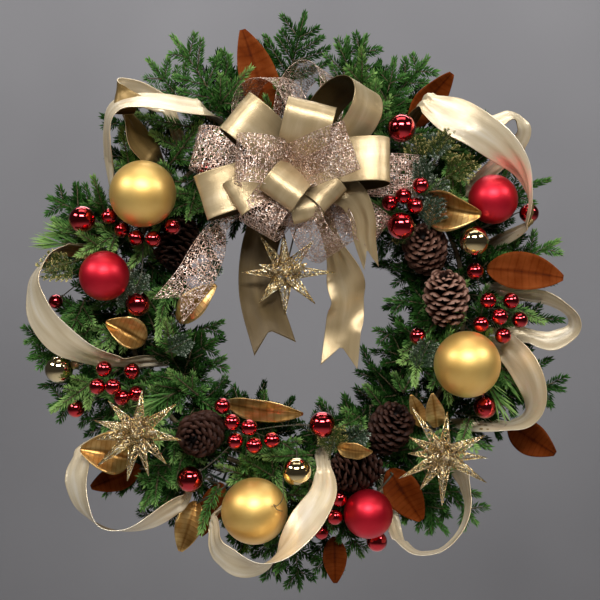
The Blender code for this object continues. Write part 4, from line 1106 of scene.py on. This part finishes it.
def satin_strip(shape, rows, seed, crumple, notch=0.0, shown=None):
    """A ribbon with a bright side and a matt back whose dark tones are partly painted shade; gives its
    length.

    shown is 1 or -1 where the bright or the dull side is the one mostly towards the viewer, and 0 for
    a ribbon that is bright on both; without it the bright side is the outer one.
    """
    laid = laid_rows(rows)
    over, half, so_far = laid[2:5]
    verts, grain = [], []
    for index in range(len(rows)):
        place = place_on_ribbon(laid, index, ACROSS, seed, crumple, notch)
        lift = over[index] * THICK[:, None]
        verts.append(np.concatenate([place + lift, (place - lift)[::-1]]))
        flat = np.stack([np.full(len(ACROSS), so_far[index]), ACROSS * W / 2, np.zeros(len(ACROSS))], -1)
        grain.append(np.concatenate([flat, flat[::-1]]))
    sides = 2 * len(ACROSS)
    faces = ring_faces(len(rows), sides)
    wide = np.repeat(half[1:] > 0.4 * half.max(), sides)
    under = np.tile(np.arange(sides) >= len(ACROSS), len(rows) - 1) & wide
    caps = []
    for start, step in ((0, -1), ((len(rows) - 1) * sides, 1)):
        for k in range(len(ACROSS) - 1):
            caps.append([start + k, start + k + 1, start + sides - 2 - k, start + sides - 1 - k][::step])
    slots = [0, 0, 0]
    if shown != 0:
        upper_is_bright = shown is None or shown * (over[:, 1] * half).sum() < 0
        slots[1 if upper_is_bright else 0] = 1
    shape.add(np.concatenate(verts), [faces[~under], faces[under], np.array(caps)], slot=slots,
              grain=np.concatenate(grain))
    return float(so_far[-1])


def finer(rows, times):
    """The same ribbon with more rows."""
    flat = [(*row[0], *row[1], row[2]) for row in rows]
    return [(Vector(r[:3]), Vector(r[3:6]).normalized(), max(0.006, r[6]))
            for r in smooth_path(flat, (len(rows) - 1) * times)]


def garland():
    bright = satin_look("cream_satin", (
        (0.62, 0.48, 0.28), (0.86, 0.72, 0.50), (1.0, 0.92, 0.76)), 0.27, 0.4)
    # The matt back, darker than the cloth's own back: painted shade.
    dull_and_shaded = satin_look("shaded_bronze_satin", (
        (0.17, 0.105, 0.032), (0.25, 0.16, 0.055), (0.36, 0.245, 0.095)), 0.38, 0.5)
    for index, (node, side, first, knots, last) in enumerate(GARLAND):
        rows = ribbon_rows(knots, 3 * (len(knots) - 1))
        if first:
            rows = loop_end(rows[::-1], *first)[::-1] + rows
        rows = rows + loop_end(rows, *last)
        shape = Shape()
        length = satin_strip(shape, finer(rows, 5), index + 0.5, 0.0018, shown=side)
        stands_for = [f"ribbon_loop_{node}"] if first else []
        obj = shape.make(f"garland_{index + 1}", [bright, dull_and_shaded], "gold_satin", stands_for)


def web_cells(rng, long_count, wide_count):
    """Irregular cells of a net on a unit grid: its corners, and each cell's corners in order."""
    bm = bmesh.new()
    grid = []
    for i in range(long_count + 1):
        line = []
        for j in range(wide_count + 1):
            inside = 0 < j < wide_count
            x = i + (rng.uniform(-0.33, 0.33) if 0 < i < long_count else 0)
            y = j + (rng.uniform(-0.36, 0.36) if inside else 0)
            line.append(bm.verts.new((x, y, 0)))
        grid.append(line)
    for i in range(long_count):
        for j in range(wide_count):
            a, b, c, d = grid[i][j], grid[i][j + 1], grid[i + 1][j + 1], grid[i + 1][j]
            draw = rng.random()
            if draw < 0.2:
                bm.faces.new((a, b, c))
                bm.faces.new((a, c, d))
            elif draw < 0.4:
                bm.faces.new((a, b, d))
                bm.faces.new((b, c, d))
            else:
                bm.faces.new((a, b, c, d))
    joined = [edge for edge in bm.edges if not edge.is_boundary and rng.random() < 0.16]
    bmesh.ops.dissolve_edges(bm, edges=joined, use_verts=False)
    bm.verts.index_update()
    corners = np.array([vert.co[:2] for vert in bm.verts])
    cells = [[vert.index for vert in face.verts] for face in bm.faces]
    bm.free()
    return corners, cells


def strands(corners, cells):
    """A net's strands on its unit grid: points, a quad along each side of each cell, and their area."""
    flat = [tuple(corner) for corner in corners]
    quads = []
    area = 0.0
    for cell in cells:
        ring = corners[cell]
        middle = ring.mean(0)
        sides = np.roll(ring, -1, 0) - ring
        gaps = np.abs(sides[:, 0] * (middle - ring)[:, 1] - sides[:, 1] * (middle - ring)[:, 0])
        reach = gaps.sum() / np.linalg.norm(sides, axis=1).sum()
        shrink = min(0.8, NET_STRAND / NET_PITCH / max(reach, 1e-6))
        start = len(flat)
        flat.extend(tuple(point) for point in ring + (middle - ring) * shrink)
        size = len(cell)
        for k in range(size):
            quads.append((cell[k], cell[(k + 1) % size], start + (k + 1) % size, start + k))
        area += gaps.sum() / 2 * (1 - (1 - shrink) ** 2) * NET_PITCH * NET_PITCH
    return flat, quads, area


def net_strip(shape, rows, rng, seed, notch=0.0):
    """An open web of glittered strands between two wired edges; gives its length and its own area."""
    laid = laid_rows(rows)
    so_far = laid[4]
    length = float(so_far[-1])
    long_count = max(6, round(length / NET_PITCH))
    wide_count = round(2 * laid[3].max() / NET_PITCH)
    flat, quads, area = strands(*web_cells(rng, long_count, wide_count))

    def spot(row, s):
        return place_on_ribbon(laid, row, np.array([s]), seed, NET_CRUMPLE, notch)[0]

    verts = []
    for x, y in flat:
        along = float(np.interp(x / long_count * length, so_far, np.arange(len(rows))))
        along = min(len(rows) - 1.001, along)
        low = int(along)
        s = 2 * y / wide_count - 1
        here = spot(low, s)
        rise = laid[2][low] * rng.uniform(-0.0002, 0.0002)
        verts.append(here + (spot(low + 1, s) - here) * (along - low) + rise)
    shape.add(verts, np.array(quads), smooth=False)
    for side in (-1.0, 1.0):
        tube(shape, [spot(row, side) for row in range(len(rows))], NET_STRAND, 5)
    return length, area + 2 * NET_STRAND * math.tau * length


def bow_layer(name, out, depth, loops, tails, looks, slot, rng, net=False):
    """Loops and tails of one ribbon, tied round a core of its own."""
    shape = Shape()
    core = at(*BOW, out)
    for index, loop in enumerate(loops):
        rows = bow_loop(*loop)
        if net:
            run, covered = net_strip(shape, rows, rng, index * 1.7)
        else:
            # Each loop's inside takes the dark backing: the cloth's back, darkened with painted shade
            # inside the loop.
            run = satin_strip(shape, rows, index * 1.7, 0.0006)
    for index, knots in enumerate(tails):
        start = (BOW[0] + 0.006, BOW[1] - 0.006, *knots[0][2:5], 0.014)
        rows = finer(ribbon_rows([start, *knots], 4 * len(knots)), 3)
        if net:
            run, covered = net_strip(shape, rows, rng, index + 9.0, notch=0.022)
        else:
            # The left tail shows its dark back: painted shadow of the bow above it.
            side = -1 if knots is LEFT_TAIL else 1
            run = satin_strip(shape, rows, index + 9.0, 0.0022, notch=0.026, shown=side)
    half = depth / 2
    lathe(shape, [(0.004, GAP - half), (0.0065, 0.003 - half), (0.0065, half - 0.003), (0.004, half - GAP)],
          core, (0, 1, 0), 16)
    if name == "bow_mesh_back":
        tube(shape, bent([core, *foot(core)]), 0.0019, 8, slot=1)
    obj = shape.make("dressed_" + name, looks, slot, [name])


def bow():
    """Four layers from the back to the front, glitter mesh and satin in turn."""
    net = [mesh_look(), STEM]
    cloth = [
        satin_look("champagne_satin", (
            (0.43, 0.31, 0.155), (0.54, 0.405, 0.225), (0.66, 0.53, 0.33)), 0.32, 0.5),
        # The backing's dark tones are partly painted shade.
        satin_look("shaded_satin_backing", (
            (0.055, 0.034, 0.010), (0.080, 0.050, 0.015), (0.13, 0.085, 0.030)), 0.45, 0.35)]
    rng = random.Random(SEED)
    bow_layer("bow_mesh_back", 0.085, 0.018, MESH_BACK, (MESH_TAIL,), net, "glitter_mesh", rng, net=True)
    bow_layer("bow_satin_back", 0.106, 0.024, SATIN_BACK, (LEFT_TAIL, RIGHT_TAIL, SHORT_TAIL), cloth,
              "gold_satin", rng)
    bow_layer("bow_mesh_front", 0.126, 0.025, MESH_FRONT, (), net[:1], "glitter_mesh", rng, net=True)
    bow_layer("bow_satin_front", 0.126, 0.026, SATIN_FRONT, (), cloth, "gold_satin", rng)


# Fir.
def dressed_tree():
    """The ornaments and ribbons made so far, as one tree for finding what is near."""
    verts, faces = [], []
    for obj in PIECES:
        start = len(verts)
        verts.extend(tuple(vert.co) for vert in obj.data.vertices)
        faces.extend([start + index for index in face.vertices] for face in obj.data.polygons)
    return BVHTree.FromPolygons(verts, faces)


def run_is_clear(tree, start, end):
    run = end - start
    steps = max(2, int(run.length / 0.008))
    for k in range(1, steps + 1):
        if tree.find_nearest(start + run * (k / steps))[3] < CLEARANCE:
            return False
    return tree.ray_cast(start, run.normalized(), run.length)[0] is None


def needle_is_clear(tree, base, end):
    """Whether a needle stays in front of the wall and out of the ornaments."""
    start = Vector(base)
    run = Vector(end) - start
    return end[1] <= -0.0015 and tree.ray_cast(start, run.normalized(), run.length * 1.02)[0] is None


def hides(tree, path):
    """Whether a twig would stand in front of an ornament."""
    return any(tree.ray_cast(place, Vector((0, 1, 0)), 0.12)[0] is not None for place in path[1:])


def twig_path(start, aim, length, sag, rng):
    """A gently curved path."""
    count = max(3, round(length / 0.010))
    side = aim.orthogonal().normalized()
    sway = (side * rng.uniform(-1, 1) + aim.cross(side) * rng.uniform(-1, 1)) * length * 0.06
    path = []
    for k in range(count + 1):
        t = k / count
        hang = Vector((0, -1, 0)) * (sag * t * t)
        path.append(start + aim * (length * t) + hang + sway * math.sin(math.pi * t) * t)
    return path


def ring_start(right, up, rng):
    """A start for a sprig on the frame, nearest to where it should end."""
    degrees = math.degrees(math.atan2(up, right)) + rng.uniform(-7, 7)
    off_ring = 0.02 if math.hypot(right, up) > FRONT_RING else -0.02
    radius = FRONT_RING + off_ring + rng.uniform(-0.012, 0.012)
    return around(radius, degrees, rng.uniform(0.014, 0.034))


class Bunch:
    """One bunch of fir while it grows: its shape, what stands near it and its own random draws."""

    def __init__(self, index, tree):
        self.shape = Shape()
        self.tree = tree
        self.rng = random.Random(SEED * 100 + index)
        self.numbers = np.random.default_rng(SEED * 100 + index)
        self.low = SPAN * index + 4

    def holds(self, right, up):
        """Whether a place is in the bunch's part of the ring."""
        return (math.degrees(math.atan2(up, right)) - self.low) % 360 < SPAN

    def stem(self):
        """The woody stem on the front ring."""
        out = FRONT_RING_OUT + WIRE + GAP + 0.0035
        middle = self.low + SPAN / 2
        arc = [around(FRONT_RING, middle + (SPAN / 2 - 1.2) * k / 8, out) for k in range(-8, 9)]
        tube(self.shape, arc, 0.0032, 8, slot=1)

    def needles(self, path, normal, tint, dense=1.0, needle=NEEDLE, slot=0, lean=60.0, broad=NEEDLE_WIDTH):
        """Flat needles round a twig, in two loose ranks with some on top, closing towards its tip."""
        draw = self.numbers.uniform
        points = np.array([tuple(place) for place in path])
        steps = np.linalg.norm(np.diff(points, axis=0), axis=1)
        so_far = np.concatenate([[0.0], np.cumsum(steps)])
        length = so_far[-1]
        count = int(length * NEEDLES_PER_METRE * dense)
        if count < 4:
            return

        def on_twig(spots):
            return np.stack([np.interp(spots, so_far, points[:, k]) for k in range(3)], -1)

        share = (np.arange(count) + draw(0.0, 0.9, count)) / count
        spot = 0.04 * length + share * 0.96 * length
        base = on_twig(spot)
        tangent = unit(on_twig(np.minimum(spot + 0.004, length)) - on_twig(np.maximum(spot - 0.004, 0)))
        up = unit(np.array(normal) - tangent * (tangent @ np.array(normal))[:, None])
        side = np.cross(tangent, up)
        angle = np.arange(count) * GOLDEN_TURN + draw(-0.5, 0.5, count)
        flat = np.cos(angle)
        high = np.sin(angle) * 0.72 + 0.12
        radial = unit(flat[:, None] * side + high[:, None] * up)
        tip_share = share ** 3
        opening = np.radians(lean * (1 - 0.53 * tip_share) + draw(-9, 9, count))
        aim = unit(np.sin(opening)[:, None] * radial + np.cos(opening)[:, None] * tangent)
        size = needle * draw(0.78, 1.06, count) * (1 - 0.30 * tip_share)
        size = size * (0.75 + 0.25 * np.minimum(1, share * 6))
        mid = base + aim * (size * 0.52)[:, None]
        bend = unit(aim + 0.30 * tangent + 0.14 * up)
        end = mid + bend * (size * 0.48)[:, None]
        wide = unit(np.cross(aim, up + 0.35 * radial + draw(-0.3, 0.3, (count, 3))))
        kept = [k for k in range(count) if needle_is_clear(self.tree, base[k], end[k])]
        if not kept:
            return
        base, mid, end, wide = base[kept], mid[kept], end[kept], wide[kept]
        half = wide * broad / 2
        verts = np.stack([base, mid - half, mid + half, end], 1)
        faces = np.arange(len(kept))[:, None, None] * 4 + np.array([[[0, 2, 1], [1, 2, 3]]])
        # Needles nearer the wall take a darker tint: painted shade deep in the wreath.
        depth = ((-base[:, 1] - 0.012) / 0.060).clip(0, 1)
        own = tint + draw(-0.10, 0.10, len(kept)) + 0.22 * tip_share[kept] + 0.34 * (depth - 0.62)
        shades = np.stack([own - 0.15, own, own + 0.03, own + 0.14], 1).clip(0, 1)
        self.shape.add(verts.reshape(-1, 3), faces.reshape(-1, 3), shades.ravel(), slot, smooth=False)

    def grow(self, start, aim, length, spread, sag, tries=14):
        """A clear path for a twig, tried several ways and then shorter."""
        for attempt in range(tries):
            reach = length * (1 - 0.5 * attempt / tries)
            direction = aim.copy()
            if attempt:
                direction += Vector([self.rng.uniform(-spread, spread) for _ in range(3)])
            direction.normalize()
            path = twig_path(start, direction, reach, sag, self.rng)
            if path[-1].y > -0.006:
                continue
            if all(run_is_clear(self.tree, a, b) for a, b in zip(path[::2], path[2::2] + [path[-1]])):
                return path
        return None

    def spray(self, start, aim, length, tint, sag=0.004, spread=0.3, side_twigs=True):
        """A main twig with side twigs in one leaning plane, all with needles."""
        rng = self.rng
        path = self.grow(start, aim, length, spread, sag)
        if path is None or hides(self.tree, path) and rng.random() < 0.75:
            return
        reach = (path[-1] - path[0]).length
        normal = Vector((rng.uniform(-0.45, 0.45), -1.0, rng.uniform(-0.45, 0.45))).normalized()
        tube(self.shape, path, np.linspace(0.0014, 0.0006, len(path)), 5, slot=1)
        self.needles(path, normal, tint)
        if not side_twigs:
            return
        along = (path[-1] - path[0]).normalized()
        across = along.cross(normal).normalized()
        hand = rng.choice((-1, 1))
        pairs = max(2, round(reach / 0.026))
        last = len(path) - 1
        for k in range(pairs):
            share = 0.22 + 0.62 * k / (pairs - 1) + rng.uniform(-0.03, 0.03)
            place = path[min(last, int(share * last))]
            for side in (hand, -hand):
                if rng.random() < 0.12:
                    continue
                angle = math.radians(rng.uniform(42, 58))
                way = along * math.cos(angle) + across * (side * math.sin(angle))
                way = way + normal * rng.uniform(-0.1, 0.25)
                size = reach * (0.56 - 0.42 * share) * rng.uniform(0.8, 1.15)
                if size < 0.018:
                    continue
                twig = self.grow(place, way.normalized(), size, 0.2, 0.001, tries=5)
                if twig and not hides(self.tree, twig):
                    tube(self.shape, twig, np.linspace(0.001, 0.0005, len(twig)), 5, slot=1)
                    self.needles(twig, normal, tint + rng.uniform(-0.05, 0.05), needle=NEEDLE * 0.93)

    def scales(self, path, normal, slot):
        """Scale leaves pressed along a thin branch."""
        self.needles(path, normal, 0.5, dense=0.9, needle=0.0046, slot=slot, lean=38.0, broad=0.0011)

    def cedar(self, place, degrees, length, slot):
        """A flat lacy sprig of scale leaves, in a slot of its own colour."""
        rng = self.rng
        start = at(*place)
        angle = math.radians(degrees)
        along = Vector((math.cos(angle), -0.35, math.sin(angle))).normalized()
        normal = Vector((rng.uniform(-0.3, 0.3), -1, rng.uniform(-0.3, 0.3))).normalized()
        across = along.cross(normal).normalized()
        stem = twig_path(start, along, length, 0.002, rng)
        tube(self.shape, stem, 0.0007, 5, slot=1)
        for k in range(10):
            share = 0.15 + 0.8 * k / 10
            place = start.lerp(stem[-1], share)
            side = 1 if k % 2 else -1
            lean = math.radians(rng.uniform(38, 52))
            way = along * math.cos(lean) + across * (side * math.sin(lean))
            reach = length * (0.62 - 0.40 * share)
            branch = twig_path(place, way.normalized(), reach, 0.002, rng)
            self.scales(branch, normal, slot)
            for j in range(1, 4):
                spot = place.lerp(branch[-1], 0.24 * j)
                turn = way * 0.75 + across * (0.65 * (1 if j % 2 else -1))
                self.scales(twig_path(spot, turn.normalized(), reach * 0.34, 0.001, rng), normal, slot)
        self.scales(stem, normal, slot)

    def long_tuft(self, place, degrees, length):
        angle = math.radians(degrees)
        aim = Vector((math.cos(angle), -0.2, math.sin(angle))).normalized()
        path = twig_path(at(*place), aim, length, 0.0, self.rng)
        tube(self.shape, path, 0.0009, 5, slot=1)
        self.needles(path, Vector((0, -1, 0)), 0.72, dense=0.45, needle=0.040, lean=24.0)

    def placed_sprigs(self):
        """The sprigs that the tables place: the outline's, the cedar's and the long tufts."""
        draw = self.rng.uniform
        for right, up in OUTER_TIPS + INNER_TIPS:
            if self.holds(right, up):
                outside = math.hypot(right, up) > FRONT_RING
                end = at(right, up, draw(0.030, 0.052) if outside else draw(0.03, 0.06))
                start = ring_start(right, up, self.rng)
                run = end - start
                self.spray(start, run.normalized(), run.length, draw(0.40, 0.66), sag=0.0, spread=0.10)
        for right, up, out, degrees, length, slot in CEDAR:
            if self.holds(right, up):
                self.cedar((right, up, out), degrees, length, slot)
        for right, up, out, degrees, length in LONG_TUFTS:
            if self.holds(right, up):
                self.long_tuft((right, up, out), degrees, length)

    def fill(self):
        """Short sprigs without side twigs that close the gaps."""
        draw = self.rng.uniform
        for k in range(FILL_SPRIGS):
            start = around(draw(0.158, 0.262), self.low + SPAN * (k + self.rng.random()) / FILL_SPRIGS,
                           draw(0.006, 0.034))
            angle = draw(0, math.tau)
            aim = Vector((math.cos(angle), -draw(0.1, 0.5), math.sin(angle)))
            self.spray(start, aim.normalized(), draw(0.026, 0.042), draw(0.30, 0.45), spread=0.8,
                       side_twigs=False)

    def bed(self):
        """The bed behind, in a darker tint as painted shade: two sprigs outwards for each one inwards."""
        draw = self.rng.uniform
        for k in range(BED_SPRIGS):
            degrees = self.low + SPAN * (k + self.rng.random()) / BED_SPRIGS
            inwards = k % 3 == 0
            radius = draw(0.165, 0.215) if inwards else draw(0.19, 0.262)
            start = around(radius, degrees, draw(0.008, 0.036))
            outwards = Vector((math.cos(math.radians(degrees)), 0, math.sin(math.radians(degrees))))
            along = Vector((-outwards.z, 0, outwards.x))
            aim = outwards * (-1.0 if inwards else 1.0) + along * draw(-1.1, 1.1)
            aim = aim + Vector((0, -draw(0.0, 0.30), 0))
            reach = draw(0.050, 0.075) if inwards else draw(0.055, 0.090)
            # Their low tint is painted shade deep in the wreath.
            self.spray(start, aim.normalized(), reach, draw(0.22, 0.42))

    def front(self):
        """Livelier sprigs that lean towards the viewer."""
        draw = self.rng.uniform
        for k in range(FRONT_SPRIGS):
            degrees = self.low + SPAN * (k + self.rng.random()) / FRONT_SPRIGS
            start = around(draw(0.155, 0.266), degrees, draw(0.034, 0.056))
            angle = math.radians(degrees + draw(-110, 110))
            aim = Vector((math.cos(angle), -draw(0.20, 0.75), math.sin(angle)))
            self.spray(start, aim.normalized(), draw(0.045, 0.075), draw(0.45, 0.80), spread=0.45)


def fir():
    """Nine bunches, each with its sprigs on a woody stem."""
    tree = dressed_tree()
    looks = [fir_look(), bark_look(), cedar_look("gilded_cedar", True), cedar_look("frosted_cedar", False)]
    for index in range(BUNCHES):
        bunch = Bunch(index, tree)
        bunch.stem()
        bunch.placed_sprigs()
        bunch.fill()
        bunch.bed()
        bunch.front()
        name = f"fir_bunch_{index + 1}"
        bunch.shape.make("dressed_" + name, looks, "fir", [name])


# Camera, light, backdrop and floor.
def aim_at(obj, target):
    obj.rotation_mode = "QUATERNION"
    obj.rotation_quaternion = (Vector(target) - obj.location).to_track_quat("-Z", "Y")


def camera():
    data = bpy.data.cameras.new("camera")
    data.lens = LENS
    data.sensor_width = 36.0
    obj = bpy.data.objects.new("camera", data)
    obj.location = (0.005, -EYE, 0.005 - DROP)
    obj.rotation_euler = (math.radians(90), 0, 0)
    bpy.context.scene.collection.objects.link(obj)
    bpy.context.scene.camera = obj


def panel(name, place, size, power, target=(0, 0, -DROP)):
    data = bpy.data.lights.new(name, "AREA")
    data.shape = "RECTANGLE"
    data.size, data.size_y = size
    data.energy = power
    obj = bpy.data.objects.new(name, data)
    obj.location = place
    aim_at(obj, target)
    bpy.context.scene.collection.objects.link(obj)


def lights():
    for degrees, width, power in STRIPS:
        angle = math.radians(degrees)
        place = (STRIP_REACH * math.sin(angle), -STRIP_REACH * math.cos(angle), STRIP_HEIGHT)
        panel(f"strip_{degrees + 58}", place, (width, 0.5), power)
    panel("top_soft", (0, -0.5, 2.0), (2.0, 0.9), 12)
    panel("back_soft", (0, 2.2, 1.8), (2.0, 0.6), 14)
    panel("backdrop_light", (0, 0.9, 1.9), (3.0, 0.8), 62, target=(0, BACKDROP, -0.2))
    world = bpy.data.worlds.new("studio")
    world.use_nodes = True
    world.node_tree.nodes["Background"].inputs["Color"].default_value = (0.66, 0.64, 0.62, 1)
    world.node_tree.nodes["Background"].inputs["Strength"].default_value = 0.06
    bpy.context.scene.world = world
    bpy.context.scene.view_settings.view_transform = "Standard"


def sheet_of(name, corners, look):
    mesh = bpy.data.meshes.new(name)
    mesh.from_pydata(corners, [], [(0, 1, 2, 3)])
    mesh.materials.append(look)
    obj = bpy.data.objects.new(name, mesh)
    bpy.context.scene.collection.objects.link(obj)


def studio():
    grey = material("backdrop_grey", (0.22, 0.215, 0.225), 0.9)
    tinted(grey, noise_of(grey, 0.7, 3.0), ((0.3, (0.19, 0.186, 0.195)), (0.7, (0.25, 0.245, 0.255))))
    sheet_of("backdrop", [(-STAGE, BACKDROP, FLOOR), (STAGE, BACKDROP, FLOOR), (STAGE, BACKDROP, 6),
                          (-STAGE, BACKDROP, 6)], grey)
    pale = material("floor_pale", (0.62, 0.61, 0.60), 0.8)
    tinted(pale, noise_of(pale, 1.1, 3.0), ((0.3, (0.58, 0.57, 0.56)), (0.7, (0.66, 0.65, 0.64))))
    sheet_of("floor", [(-STAGE, -STAGE, FLOOR), (STAGE, -STAGE, FLOOR), (STAGE, BACKDROP, FLOOR),
                       (-STAGE, BACKDROP, FLOOR)], pale)


CAP = cap_look()
STEM = stem_look()

wire_frame()
hanging_loop()
baubles()
berry_picks()
pine_cones()
stars()
leaves()
garland()
bow()
fir()
camera()
lights()
studio()
